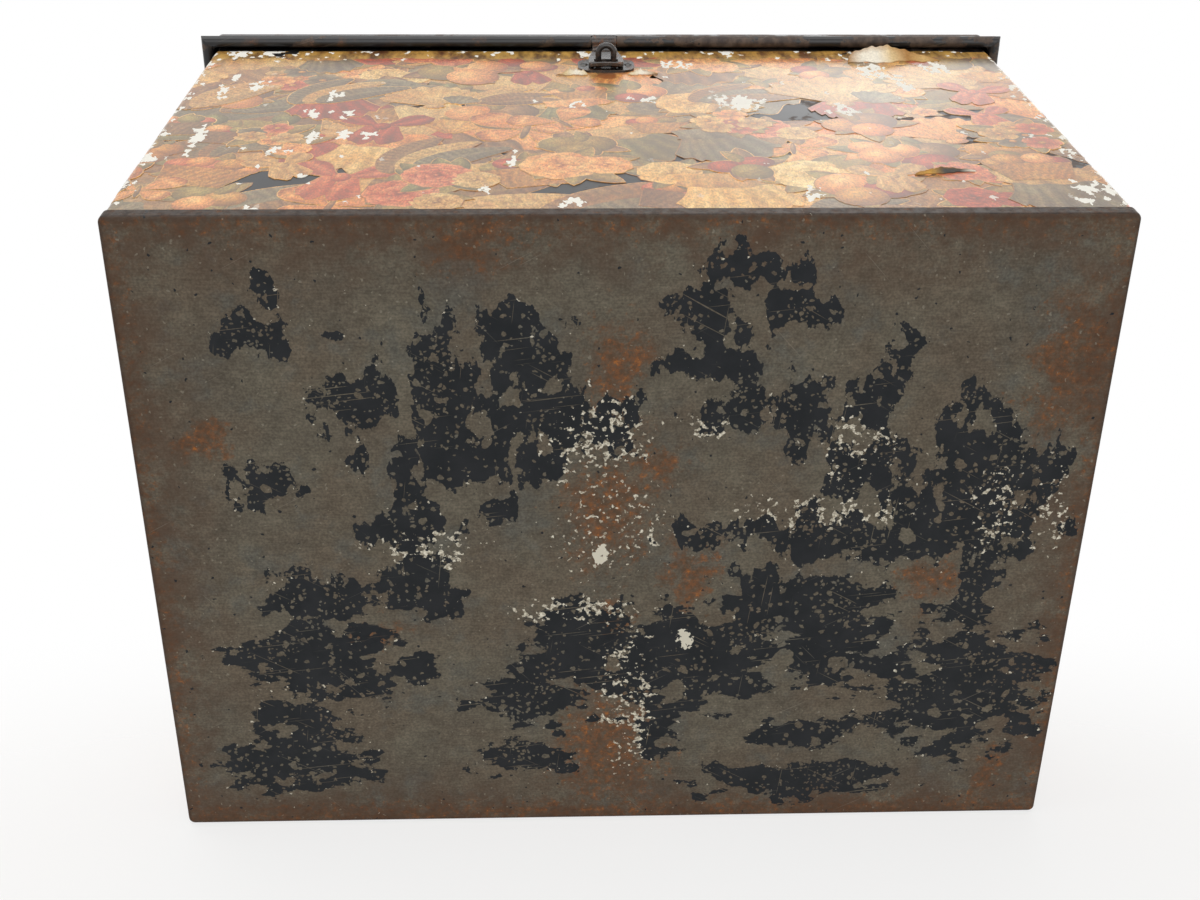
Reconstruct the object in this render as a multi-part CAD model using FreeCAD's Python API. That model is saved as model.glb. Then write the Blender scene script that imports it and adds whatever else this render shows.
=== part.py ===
"""Tin deed box: folded sheet body, base pan, hinged lid with a wired edge, hasp, staple and drop handle.

Frame: +Z up, front towards -Y, origin on the ground under the middle of the body. Millimetres.
"""
import FreeCAD, Part
import os
from math import sqrt

V = FreeCAD.Vector

# Overall sizes
box_width = 305.0  # outside of the side walls
box_depth = 229.0  # outside of the front and back walls
bead_height = 188.4  # middle of the lid's wired edge above the ground
skirt_height = 19.0  # lid, from the lower edge of the bead to the top sheet

# Sheet and wire
sheet = 0.55  # tinplate
edge_wire_radius = 1.6
corner_radius = 1.6  # upright corners of the body, outside
lid_corner = 1.0  # upright corners of the lid's skirt, inside

# Fits and gaps
solder_gap = 0.05  # between soldered or pasted pieces
lid_clearance = 1.1  # between skirt and walls, lets the front swing up
lid_rest_gap = 0.35  # between wall tops and lid
running_fit = 0.06  # round a pin or wire that turns
rivet_fit = 0.05
swing_gap = 0.6  # beside and above a strap that turns
paper_gap = 0.5  # between a paper's cut edge and a fitting

# Body
foot_width = 6.0  # inward fold under the walls
foot_bend = 1.0  # outer radius of that fold
hem_depth = 8.0  # folded top edge
return_width = 14.0  # lap of the wrapper behind the back panel
pan_flange = 6.0
pan_bend = 1.6  # outer radius of the pan's lower edge

# Lid
panel_flange = 3.5  # edge of the top sheet, turned down over the skirt
panel_bend = 1.2
rim_drop = 0.7  # skirt stops short of the bend of the top sheet
raise_inset = 20.0  # start of the raised middle from the lid's outer edge
raise_height = 5.0
raise_corner = 16.0

# Rear hinges
hinge_inset = 57.5  # middle of each hinge from the side wall
hinge_width = 22.0
hinge_tip_width = 14.0
hinge_length = 34.0  # below the edge wire
hinge_sheet = 1.2
hinge_rivet_first = 12.0  # below the edge wire
hinge_rivet_pitch = 11.0
rivet_radius = 1.5
rivet_head_radius = 2.8
rivet_head_height = 1.1
rivet_burr_radius = 2.2
rivet_burr_height = 0.7

# Hasp
hasp_neck = 9.2
hasp_wide = 13.2
hasp_length = 35.0  # below the edge wire
hasp_sheet = 1.0
hasp_stand_off = 1.7  # inner face from the front wall
hasp_lip = 4.0  # turned out lower end
hasp_lip_rise = 1.6
hasp_flare = 11.0  # height over which the neck widens, below the first rib
hasp_rib_radius = 0.7
hasp_rib_first = 11.0  # below the edge wire
hasp_rib_second = 31.0
slot_side_gap = 0.5
slot_upper_gap = 0.6
slot_lower_gap = 1.6  # the loop sinks in the slot while the hasp swings out

# Staple
staple_drop = 25.4  # below the edge wire
staple_reach = 9.5  # out from the front wall
staple_wire_radius = 1.15
staple_leg_spacing = 5.8
staple_clench = 0.9
staple_clench_radius = 1.9
plate_width = 21.4
plate_height = 16.0
plate_sheet = 1.0
plate_corner = 5.0
plate_rivet_spacing = 17.0
plate_rivet_radius = 1.0
plate_rivet_head_radius = 1.6
plate_rivet_head_height = 0.7

# Drop handle
eye_spacing = 120.0
eye_width = 8.0
eye_sheet = 1.2
eye_foot_reach = 14.0
eye_rivet_offset = 9.5
bail_radius = 2.6
bail_reach = 40.0
bail_arm_inset = 13.0  # arms from the middle of the eyes
bail_pin_bend = 7.0
bail_grip_bend = 12.0
bail_grip_radius = 3.3
bail_grip_length = 62.0
bail_end_stick = 8.0  # past the middle of the eyes
bail_knob_radius = 3.3
backing_sheet = 0.8
backing_width = 12.0
backing_length = 30.0
backing_corner = 3.0

# Pasted paper
paper = 0.25
paper_tuck = 1.5  # under the bead
lid_paper_margin = 1.5

# Heights and places that follow from these
floor_top = sheet + solder_gap
curl_bore = edge_wire_radius + solder_gap
bead_radius = curl_bore + sheet
lid_top = bead_height - bead_radius + skirt_height
lid_underside = lid_top - sheet
body_top = lid_underside - lid_rest_gap
axis_y = box_depth / 2 + lid_clearance + bead_radius
skirt_width = box_width + 2 * lid_clearance
skirt_depth = box_depth + 2 * lid_clearance
lap = solder_gap + sheet
raised_top = lid_top + raise_height
eye_bore = bail_radius + running_fit
eye_outer = eye_bore + eye_sheet
bail_z = raised_top + eye_outer
hinge_bore = edge_wire_radius + running_fit
hinge_outer = hinge_bore + hinge_sheet
hasp_outer = hinge_bore + hasp_sheet
staple_z = bead_height - staple_drop
hinge_x = [hinge_inset - box_width / 2, box_width / 2 - hinge_inset]
eye_x = [-eye_spacing / 2, eye_spacing / 2]
cut_margin = 5.0  # how far cutting blocks run past what they cut


def block(x0, x1, y0, y1, z0, z1):
    """Box between two corners."""
    return Part.makeBox(x1 - x0, y1 - y0, z1 - z0, V(x0, y0, z0))


def rounded_wire(width, depth, radius, z):
    """Closed rectangle with round corners, centred on the Z axis."""
    x = width / 2
    y = depth / 2
    bow = radius * (1 - sqrt(0.5))
    edges = []
    for sx, sy in ((1, 1), (-1, 1), (-1, -1), (1, -1)):
        on_side = V(sx * x, sy * (y - radius), z)
        on_end = V(sx * (x - radius), sy * y, z)
        start, end = (on_side, on_end) if sx == sy else (on_end, on_side)
        middle = V(sx * (x - bow), sy * (y - bow), z)
        edges.append(Part.Arc(start, middle, end).toShape())
    sides = []
    for here, following in zip(edges, edges[1:] + edges[:1]):
        sides.append(Part.makeLine(here.lastVertex().Point, following.firstVertex().Point))
    loop = [edge for pair in zip(edges, sides) for edge in pair]
    return Part.Wire(loop)


def rounded_prism(width, depth, radius, z0, z1):
    """Upright block with round upright corners."""
    face = Part.Face(rounded_wire(width, depth, radius, z0))
    return face.extrude(V(0, 0, z1 - z0))


def rounded_edge(shape, radius, z):
    """Round the whole outline of a block at one height."""
    edges = [e for e in shape.Edges if abs(e.BoundBox.ZMin - z) < 1e-6 and abs(e.BoundBox.ZMax - z) < 1e-6]
    return shape.makeFillet(radius, edges)


def cylinder_x(radius, length, x, y, z):
    """Cylinder along X, centred at a point."""
    return Part.makeCylinder(radius, length, V(x - length / 2, y, z), V(1, 0, 0))


def cylinder_y(radius, y0, y1, x, z):
    """Cylinder along Y between two depths."""
    return Part.makeCylinder(radius, y1 - y0, V(x, y0, z), V(0, 1, 0))


def dome(radius, height, base, direction):
    """Rivet head: the cap of a ball on a flat base."""
    ball_radius = (radius * radius + height * height) / (2 * height)
    ball = Part.makeSphere(ball_radius, base + direction * (height - ball_radius))
    keep = Part.makeCylinder(radius + cut_margin, height + cut_margin, base, direction)
    return ball.common(keep)


def rivet(base, direction, grip, radius, head_radius, head_height, burr_radius, burr_height):
    """Rivet with its head on a base plane, its shank back through the sheets and its burr behind them."""
    shank = Part.makeCylinder(radius, grip, base, direction * -1)
    burr = Part.makeCylinder(burr_radius, burr_height, base - direction * grip, direction * -1)
    return shank.fuse([dome(head_radius, head_height, base, direction), burr]).removeSplitter()


def straight_rivet(base, direction, grip):
    """Rivet of the hinges and the handle."""
    return rivet(base, direction, grip, rivet_radius, rivet_head_radius, rivet_head_height,
                 rivet_burr_radius, rivet_burr_height)


def hinge_rivet_places():
    """Middle of each hinge rivet on the back wall, as x and z."""
    heights = [bead_height - hinge_rivet_first, bead_height - hinge_rivet_first - hinge_rivet_pitch]
    return [(x, z) for x in hinge_x for z in heights]


def plate_rivet_places():
    """Middle of each small rivet beside the staple, as x."""
    return [-plate_rivet_spacing / 2, plate_rivet_spacing / 2]


def staple_leg_places():
    """Middle of each leg of the staple, as x."""
    return [-staple_leg_spacing / 2, staple_leg_spacing / 2]


def handle_rivet_places():
    """Middle of each handle rivet on the lid, as x and y."""
    return [(x, y) for x in eye_x for y in (-eye_rivet_offset, eye_rivet_offset)]


def body_tub():
    """Walls with the foot turned in and the hem folded down, before they are parted."""
    outer = rounded_edge(rounded_prism(box_width, box_depth, corner_radius, floor_top, body_top),
                         foot_bend, floor_top)
    inner = rounded_edge(rounded_prism(box_width - 2 * sheet, box_depth - 2 * sheet, corner_radius - sheet,
                                       floor_top + sheet, body_top + cut_margin),
                         foot_bend - sheet, floor_top + sheet)
    inset = 2 * (sheet + foot_width)
    window = rounded_prism(box_width - inset, box_depth - inset, corner_radius, 0, body_top)
    walls = outer.cut(inner).cut(window)
    hem_outer = rounded_prism(box_width - sheet, box_depth - sheet, corner_radius - sheet / 2,
                              body_top - hem_depth, body_top)
    hem_inner = rounded_prism(box_width - 4 * sheet, box_depth - 4 * sheet, corner_radius - 2 * sheet,
                              body_top - hem_depth - cut_margin, body_top + cut_margin)
    return walls.fuse(hem_outer.cut(hem_inner)).removeSplitter()


def back_zone(grow):
    """Space of the back panel: the flat of the back wall, and its own foot between the side feet."""
    half = box_width / 2 - corner_radius + grow
    foot_half = box_width / 2 - sheet - foot_width + grow
    split = floor_top + foot_bend + sheet
    wall = block(-half, half, box_depth / 2 - 2 * sheet - grow, box_depth, split, body_top + cut_margin)
    foot = block(-foot_half, foot_half, box_depth / 2 - sheet - foot_width - foot_bend - grow, box_depth,
                 0, split + grow)
    return wall.fuse(foot).removeSplitter()


def wall_bores():
    """Holes through the front wall for the staple's legs and its rivets."""
    front = -box_depth / 2
    holes = [cylinder_y(staple_wire_radius + rivet_fit, front - cut_margin, front + cut_margin, x, staple_z)
             for x in staple_leg_places()]
    holes += [cylinder_y(plate_rivet_radius + rivet_fit, front - cut_margin, front + cut_margin, x, staple_z)
              for x in plate_rivet_places()]
    return holes


def back_bores():
    """Holes through the back wall for the hinge rivets."""
    back = box_depth / 2
    return [cylinder_y(rivet_radius + rivet_fit, back - cut_margin, back + cut_margin, x, z)
            for x, z in hinge_rivet_places()]


def make_body_wrapper(tub):
    """Front and sides, with a return behind each end of the back panel."""
    shape = tub.cut(back_zone(solder_gap))
    face = box_depth / 2 - sheet - solder_gap
    outer_end = box_width / 2 - corner_radius / 2
    inner_end = box_width / 2 - corner_radius - return_width
    low = pan_flange + floor_top
    high = body_top - hem_depth - solder_gap
    right = block(inner_end, outer_end, face - sheet, face, low, high)
    left = block(-outer_end, -inner_end, face - sheet, face, low, high)
    return shape.fuse([left, right]).cut(wall_bores()).removeSplitter()


def make_back_panel(tub):
    """Back wall with its foot and hem, drilled for the hinges."""
    return tub.common(back_zone(0)).cut(back_bores())


def make_base_pan():
    """Bottom sheet, its edge turned up round the walls."""
    inner_width = box_width + 2 * solder_gap
    inner_depth = box_depth + 2 * solder_gap
    inner_corner = corner_radius + solder_gap
    outer = rounded_edge(rounded_prism(inner_width + 2 * sheet, inner_depth + 2 * sheet,
                                       inner_corner + sheet, 0, pan_flange), pan_bend, 0)
    inner = rounded_edge(rounded_prism(inner_width, inner_depth, inner_corner,
                                       sheet, pan_flange + cut_margin), pan_bend - sheet, sheet)
    return outer.cut(inner)


def edge_path():
    """Middle line of the wire round the lid's lower edge, sharp at the corners, from the middle of one side."""
    x = skirt_width / 2 + bead_radius
    y = skirt_depth / 2 + bead_radius
    points = [V(x, 0, bead_height), V(x, y, bead_height), V(-x, y, bead_height), V(-x, -y, bead_height),
              V(x, -y, bead_height), V(x, 0, bead_height)]
    return Part.makePolygon(points)


def edge_tube(radius):
    """Round bar along the lid's lower edge, mitred at the corners."""
    section = Part.Wire(Part.makeCircle(radius, V(skirt_width / 2 + bead_radius, 0, bead_height), V(0, 1, 0)))
    mitred = 1
    return edge_path().makePipeShell([section], True, False, mitred)


def strap_notches():
    """Breaks in the bead where the hinges and the hasp hold the bare wire."""
    notches = []
    low = bead_height - bead_radius - cut_margin
    reach = bead_radius + cut_margin
    half = hinge_width / 2 + swing_gap
    for x in hinge_x:
        notches.append(block(x - half, x + half, axis_y - reach, axis_y + reach,
                             low, bead_height + hinge_outer + swing_gap))
    half = hasp_neck / 2 + swing_gap
    notches.append(block(-half, half, -axis_y - reach, -axis_y + reach,
                         low, bead_height + hasp_outer + swing_gap))
    return notches


def make_lid_rim():
    """Skirt of the lid with its lower edge curled round the wire."""
    top = lid_underside - rim_drop
    outer = rounded_prism(skirt_width + 2 * sheet, skirt_depth + 2 * sheet, lid_corner + sheet,
                          bead_height, top)
    inner = rounded_prism(skirt_width, skirt_depth, lid_corner, bead_height - cut_margin, top + cut_margin)
    shape = outer.cut(inner).fuse(edge_tube(bead_radius)).cut(edge_tube(curl_bore))
    return shape.cut(strap_notches()).removeSplitter()


def raised_block(inset, z0, z1, width, depth):
    """Raised middle of the lid: a low block whose sides slope inwards at 45 degrees."""
    rise = z1 - z0
    lower = rounded_wire(width - 2 * inset, depth - 2 * inset, raise_corner + rise, z0)
    upper = rounded_wire(width - 2 * (inset + rise), depth - 2 * (inset + rise), raise_corner, z1)
    return Part.makeLoft([lower, upper], True, True)


def lid_bores():
    """Holes through the lid for the handle rivets."""
    return [Part.makeCylinder(rivet_radius + rivet_fit, 2 * cut_margin, V(x, y, raised_top - cut_margin))
            for x, y in handle_rivet_places()]


def make_lid_panel():
    """Top sheet of the lid, raised in the middle and turned down round the skirt."""
    width = skirt_width + 2 * sheet + 2 * lap
    depth = skirt_depth + 2 * sheet + 2 * lap
    corner = lid_corner + sheet + lap
    outer = rounded_edge(rounded_prism(width, depth, corner, lid_top - panel_flange, lid_top),
                         panel_bend, lid_top)
    inner = rounded_edge(rounded_prism(width - 2 * sheet, depth - 2 * sheet, corner - sheet,
                                       lid_top - panel_flange - cut_margin, lid_underside),
                         panel_bend - sheet, lid_underside)
    slope_shift = sheet * (sqrt(2) - 1)
    raised = raised_block(raise_inset, lid_top, raised_top, width, depth)
    hollow = raised_block(raise_inset + slope_shift, lid_underside, raised_top - sheet, width, depth)
    return outer.fuse(raised).cut([inner, hollow]).cut(lid_bores()).removeSplitter()


def make_lid_edge_wire():
    """Wire inside the bead, which is the pin of the hinges and of the hasp."""
    return edge_tube(edge_wire_radius)


def make_hinge_strap(x):
    """Strap on the back wall, tapered to a round tip, its top looped round the edge wire."""
    wall = box_depth / 2
    half = hinge_width / 2
    tip = hinge_tip_width / 2
    tip_z = bead_height - hinge_length + tip
    outline = [
        Part.makeLine(V(x - half, wall, bead_height), V(x + half, wall, bead_height)),
        Part.makeLine(V(x + half, wall, bead_height), V(x + tip, wall, tip_z)),
        Part.Arc(V(x + tip, wall, tip_z), V(x, wall, tip_z - tip), V(x - tip, wall, tip_z)).toShape(),
        Part.makeLine(V(x - tip, wall, tip_z), V(x - half, wall, bead_height)),
    ]
    leaf = Part.Face(Part.Wire(outline)).extrude(V(0, hinge_sheet, 0))
    loop = cylinder_x(hinge_outer, hinge_width, x, axis_y, bead_height)
    bore = cylinder_x(hinge_bore, hinge_width + cut_margin, x, axis_y, bead_height)
    return leaf.fuse(loop).cut([bore] + back_bores()).removeSplitter()


def make_hinge_rivets():
    """Rivets through the hinge straps and the back wall."""
    face = box_depth / 2 + hinge_sheet
    grip = hinge_sheet + sheet
    return Part.Compound([straight_rivet(V(x, face, z), V(0, 1, 0), grip) for x, z in hinge_rivet_places()])


def hasp_profile():
    """Side view of the hasp's strap: flat, then turned outwards at the lower end."""
    near = -(box_depth / 2 + hasp_stand_off)
    far = near - hasp_sheet
    top = bead_height - hinge_bore - hasp_sheet / 2
    bend = bead_height - hasp_length + hasp_lip
    low = bead_height - hasp_length
    points = [V(0, near, top), V(0, near, bend), V(0, near - hasp_lip_rise, low),
              V(0, far - hasp_lip_rise, low), V(0, far, bend), V(0, far, top), V(0, near, top)]
    return Part.Face(Part.makePolygon(points))


def hasp_outline():
    """Front view of the hasp: a narrow neck that widens to a round foot."""
    neck = hasp_neck / 2
    wide = hasp_wide / 2
    top = bead_height + hasp_outer
    shoulder = bead_height - hasp_rib_first
    low = bead_height - hasp_length
    flare = shoulder - hasp_flare
    y = -box_depth
    sides = []
    for s in (1, -1):
        sides.append([V(s * neck, y, top), V(s * neck, y, shoulder), V(s * wide, y, flare),
                      V(s * wide, y, low + wide)])
    foot = Part.Arc(sides[0][-1], V(0, y, low), sides[1][-1]).toShape()
    right = [Part.makeLine(a, b) for a, b in zip(sides[0], sides[0][1:])]
    left = [Part.makeLine(a, b) for a, b in zip(sides[1], sides[1][1:])]
    head = Part.makeLine(sides[1][0], sides[0][0])
    wire = Part.Wire(Part.__sortEdges__(right + [foot] + left + [head]))
    return Part.Face(wire).extrude(V(0, box_depth, 0))


def make_hasp():
    """Hasp with its loop, two pressed ribs and the slot for the staple."""
    strap = hasp_profile().extrude(V(hasp_wide, 0, 0))
    strap.translate(V(-hasp_wide / 2, 0, 0))
    face = -(box_depth / 2 + hasp_stand_off + hasp_sheet)
    ribs = [cylinder_x(hasp_rib_radius, hasp_wide, 0, face, bead_height - drop)
            for drop in (hasp_rib_first, hasp_rib_second - hasp_rib_radius)]
    front = block(-hasp_wide, hasp_wide, face - hasp_rib_radius - hasp_lip_rise, face + hasp_sheet / 2,
                  0, bead_height)
    pressed = [rib.common(front) for rib in ribs]
    loop = cylinder_x(hasp_outer, hasp_neck, 0, -axis_y, bead_height)
    bore = cylinder_x(hinge_bore, hasp_neck + cut_margin, 0, -axis_y, bead_height)
    half = staple_leg_spacing / 2 + staple_wire_radius + slot_side_gap
    slot = block(-half, half, -box_depth, 0, staple_z - staple_wire_radius - slot_lower_gap,
                 staple_z + staple_wire_radius + slot_upper_gap)
    flat = strap.fuse(pressed).common(hasp_outline())
    return flat.fuse(loop).cut([bore, slot]).removeSplitter()


def make_staple():
    """Wire loop through the front wall, with its ends clenched inside."""
    wall = -box_depth / 2
    half = staple_leg_spacing / 2
    crown = wall - staple_reach + staple_wire_radius + half
    inside = wall + sheet
    path = Part.Wire([
        Part.makeLine(V(-half, inside, staple_z), V(-half, crown, staple_z)),
        Part.Arc(V(-half, crown, staple_z), V(0, crown - half, staple_z), V(half, crown, staple_z)).toShape(),
        Part.makeLine(V(half, crown, staple_z), V(half, inside, staple_z)),
    ])
    section = Part.Wire(Part.makeCircle(staple_wire_radius, V(-half, inside, staple_z), V(0, 1, 0)))
    loop = path.makePipeShell([section], True, False)
    ends = [cylinder_y(staple_clench_radius, inside, inside + staple_clench, x, staple_z)
            for x in staple_leg_places()]
    return loop.fuse(ends).removeSplitter()


def make_staple_plate():
    """Plate between the front wall and the hasp, with holes for the legs and the rivets."""
    flat = rounded_prism(plate_width, plate_height, plate_corner, 0, plate_sheet)
    flat.rotate(V(0, 0, 0), V(1, 0, 0), 90)
    flat.translate(V(0, -box_depth / 2, staple_z))
    return flat.cut(wall_bores())


def make_staple_rivets():
    """Small rivets through the ears of the staple's plate."""
    face = -box_depth / 2 - plate_sheet
    return Part.Compound([rivet(V(x, face, staple_z), V(0, -1, 0), plate_sheet + sheet, plate_rivet_radius,
                                plate_rivet_head_radius, plate_rivet_head_height,
                                plate_rivet_head_radius, rivet_burr_height)
                          for x in plate_rivet_places()])


def bail_path():
    """Middle line of the handle: pins through the eyes, two arms and the grip."""
    end = eye_spacing / 2 + bail_end_stick
    arm = eye_spacing / 2 - bail_arm_inset
    turn = arm + bail_pin_bend
    corner = arm - bail_grip_bend
    low = -bail_reach + bail_grip_bend
    pin_bow = bail_pin_bend * (1 - sqrt(0.5))
    grip_bow = bail_grip_bend * (1 - sqrt(0.5))
    z = bail_z
    half = []
    for s in (-1, 1):
        half.append([
            Part.makeLine(V(s * end, 0, z), V(s * turn, 0, z)),
            Part.Arc(V(s * turn, 0, z), V(s * (arm + pin_bow), -pin_bow, z),
                     V(s * arm, -bail_pin_bend, z)).toShape(),
            Part.makeLine(V(s * arm, -bail_pin_bend, z), V(s * arm, low, z)),
            Part.Arc(V(s * arm, low, z), V(s * (arm - grip_bow), -bail_reach + grip_bow, z),
                     V(s * corner, -bail_reach, z)).toShape(),
        ])
    grip = Part.makeLine(V(-corner, -bail_reach, z), V(corner, -bail_reach, z))
    return Part.Wire(half[0] + [grip] + half[1][::-1])


def bail_grip():
    """Swelling in the middle of the grip."""
    half = bail_grip_length / 2
    centre = V(0, -bail_reach, bail_z)
    swell = Part.Arc(centre + V(-half, bail_radius, 0), centre + V(0, bail_grip_radius, 0),
                     centre + V(half, bail_radius, 0)).toShape()
    sides = [Part.makeLine(centre + V(half, bail_radius, 0), centre + V(half, 0, 0)),
             Part.makeLine(centre + V(half, 0, 0), centre + V(-half, 0, 0)),
             Part.makeLine(centre + V(-half, 0, 0), centre + V(-half, bail_radius, 0))]
    return Part.Face(Part.Wire([swell] + sides)).revolve(centre, V(1, 0, 0), 360)


def make_handle_bail():
    """Drop handle of round iron, knobbed at both ends."""
    end = eye_spacing / 2 + bail_end_stick
    section = Part.Wire(Part.makeCircle(bail_radius, V(-end, 0, bail_z), V(1, 0, 0)))
    rod = bail_path().makePipeShell([section], True, False)
    knobs = [Part.makeSphere(bail_knob_radius, V(x, 0, bail_z)) for x in (-end, end)]
    return rod.fuse([bail_grip()] + knobs).removeSplitter()


def make_handle_eye(x):
    """Strap looped over the handle's pin, with a riveted foot on each side."""
    half = eye_width / 2
    foot = rounded_prism(eye_width, 2 * eye_foot_reach, half - solder_gap, raised_top, raised_top + eye_sheet)
    foot.translate(V(x, 0, 0))
    loop = cylinder_x(eye_outer, eye_width, x, 0, bail_z)
    bore = cylinder_x(eye_bore, eye_width + cut_margin, x, 0, bail_z)
    return foot.fuse(loop).cut([bore] + lid_bores()).removeSplitter()


def make_handle_backing(x):
    """Plate under the lid that spreads the pull of the rivets."""
    high = raised_top - sheet
    plate = rounded_prism(backing_width, backing_length, backing_corner, high - backing_sheet, high)
    plate.translate(V(x, 0, 0))
    return plate.cut(lid_bores())


def make_handle_rivets():
    """Rivets through the eyes, the lid and the backing plates."""
    face = raised_top + eye_sheet
    grip = eye_sheet + sheet + backing_sheet
    return Part.Compound([straight_rivet(V(x, y, face), V(0, 0, 1), grip) for x, y in handle_rivet_places()])


def make_paper_wrap():
    """Pasted paper round the front and both sides, cut out round the staple's plate."""
    low = pan_flange + solder_gap
    high = bead_height - bead_radius + paper_tuck
    outer = rounded_prism(box_width + 2 * paper, box_depth + 2 * paper, corner_radius + paper, low, high)
    inner = rounded_prism(box_width, box_depth, corner_radius, low - cut_margin, high + cut_margin)
    back = block(-box_width, box_width, box_depth / 2 - corner_radius, box_depth, 0, body_top)
    half = plate_width / 2 + paper_gap
    rise = plate_height / 2 + paper_gap
    window = block(-half, half, -box_depth, 0, staple_z - rise, staple_z + rise)
    return outer.cut([inner, back, window])


def make_lid_paper():
    """Pasted paper on the raised middle of the lid, cut out round the handle's eyes."""
    inset = raise_inset + raise_height + lid_paper_margin
    width = skirt_width + 2 * sheet + 2 * lap - 2 * inset
    depth = skirt_depth + 2 * sheet + 2 * lap - 2 * inset
    sheet_shape = rounded_prism(width, depth, raise_corner, raised_top, raised_top + paper)
    windows = []
    for x in eye_x:
        half = eye_width / 2 + paper_gap
        reach = eye_foot_reach + paper_gap
        windows.append(block(x - half, x + half, -reach, reach, raised_top - paper, raised_top + 2 * paper))
    return sheet_shape.cut(windows)


def all_parts():
    """Every piece by name."""
    tub = body_tub()
    parts = {
        "body_wrapper": make_body_wrapper(tub),
        "back_panel": make_back_panel(tub),
        "base_pan": make_base_pan(),
        "lid_rim": make_lid_rim(),
        "lid_panel": make_lid_panel(),
        "lid_edge_wire": make_lid_edge_wire(),
        "hinge_rivets": make_hinge_rivets(),
        "hasp": make_hasp(),
        "staple": make_staple(),
        "staple_plate": make_staple_plate(),
        "staple_rivets": make_staple_rivets(),
        "handle_bail": make_handle_bail(),
        "handle_rivets": make_handle_rivets(),
        "paper_wrap": make_paper_wrap(),
        "lid_paper": make_lid_paper(),
    }
    for side, x in zip(("left", "right"), hinge_x):
        parts["hinge_strap_" + side] = make_hinge_strap(x)
    for side, x in zip(("left", "right"), eye_x):
        parts["handle_eye_" + side] = make_handle_eye(x)
        parts["handle_backing_" + side] = make_handle_backing(x)
    return parts


os.makedirs("parts", exist_ok=True)
for name, shape in all_parts().items():
    shape.exportStep("parts/" + name + ".step")
    print(name, "solids", len(shape.Solids), "valid", shape.isValid(), "volume", round(shape.Volume, 1))
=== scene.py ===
# %% [markdown]
# # A japanned tin deed box, dressed with paper scraps
# The box is old tinplate. Its outside was japanned, which means coated with a baked black lacquer, and a
# later owner pasted printed paper over the front, the sides and the lid and varnished it. The photograph
# shows it lying on its back, so the worn bottom faces the camera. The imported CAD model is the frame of
# this lesson: its pieces are never moved, and everything else is built around them in metres.

# %% Load the frame
import math

import bmesh
import bpy
import numpy as np
from mathutils import Matrix, Vector
from mathutils.bvhtree import BVHTree


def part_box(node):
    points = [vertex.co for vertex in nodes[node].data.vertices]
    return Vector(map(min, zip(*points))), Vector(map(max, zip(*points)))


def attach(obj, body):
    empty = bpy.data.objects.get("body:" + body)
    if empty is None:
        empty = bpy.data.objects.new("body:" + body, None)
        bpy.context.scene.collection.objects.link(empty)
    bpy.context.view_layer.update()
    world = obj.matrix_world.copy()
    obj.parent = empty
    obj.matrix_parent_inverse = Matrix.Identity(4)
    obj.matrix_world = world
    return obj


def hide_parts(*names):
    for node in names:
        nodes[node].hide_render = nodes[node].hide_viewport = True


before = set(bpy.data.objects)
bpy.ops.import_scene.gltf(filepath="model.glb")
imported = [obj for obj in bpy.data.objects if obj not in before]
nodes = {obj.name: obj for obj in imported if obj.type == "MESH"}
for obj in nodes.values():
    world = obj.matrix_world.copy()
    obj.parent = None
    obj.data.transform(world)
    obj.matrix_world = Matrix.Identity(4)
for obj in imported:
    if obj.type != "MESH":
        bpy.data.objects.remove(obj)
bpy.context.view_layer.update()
print("CAD nodes:", len(nodes))

# %% [markdown]
# ## Sizes
# All places below come from the frame. The wall's outer face, the bottom sheet and the lid's round bead
# are the planes and lines that the paper, the wear and the rust are measured from.

# %% Read the main sizes
mm = 0.001
wall_low, wall_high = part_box("body_wrapper")
pan_low, pan_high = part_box("base_pan")
wrap_low, wrap_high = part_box("paper_wrap")
sheet_low, sheet_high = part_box("lid_paper")
rim_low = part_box("lid_rim")[0]
hinge_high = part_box("hinge_strap_left")[1]
half_width = wall_high.x
half_depth = -wall_low.y
corner_bend = 1.6 * mm
print("half width", round(half_width, 4), "half depth", round(half_depth, 4))

# %% [markdown]
# ## Camera
# The photograph was taken from below the box's base, nearly square to it. The camera's place, its three
# small turns and its focal length in pixels were worked out from the corners of the bottom and of the lid.

# %% Camera
def put_in_scene(name, data):
    """A new object, linked to the scene."""
    made = bpy.data.objects.new(name, data)
    bpy.context.scene.collection.objects.link(made)
    return made


photo_width = 1200
focal_pixels = 1574.9
lean = math.radians(28.81)
sway = math.radians(-1.78)
roll = math.radians(-0.44)
camera_place = Vector((-22.1, -276.4, -435.2)) * mm
camera = put_in_scene("camera", bpy.data.cameras.new("camera"))
camera.data.sensor_width = 36
camera.data.lens = focal_pixels / photo_width * camera.data.sensor_width
camera.data.clip_start = 0.01
turn = Matrix.Rotation(-lean, 4, "X") @ Matrix.Rotation(-sway, 4, "Y") @ Matrix.Rotation(-roll, 4, "Z")
sight = Matrix.Translation(camera_place) @ turn @ Matrix.Rotation(math.pi, 4, "X")
camera.matrix_world = sight
bpy.context.scene.camera = camera
bpy.context.scene.view_settings.view_transform = "Standard"
print("lens", round(camera.data.lens, 2), "mm")

# %% [markdown]
# ## From the photograph to the box
# Where lacquer, rust and chips lie was read off the photograph, in its pixels. The lists below keep
# those readings. A ray through the camera carries a pixel on to a flat face of the box, so that a box of
# pixels becomes an oval in millimetres.

# %% From pixels to millimetres
photo_height = 900
across_y, across_z = 1, 2


def seen_on(axis, level, right, down):
    """The point in millimetres where a pixel of the photograph meets the plane across an axis."""
    ray = sight.to_3x3() @ Vector((right - photo_width / 2, photo_height / 2 - down, -focal_pixels))
    start = sight.translation
    return (start + ray * ((level - start[axis]) / ray[axis])) / mm


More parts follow.
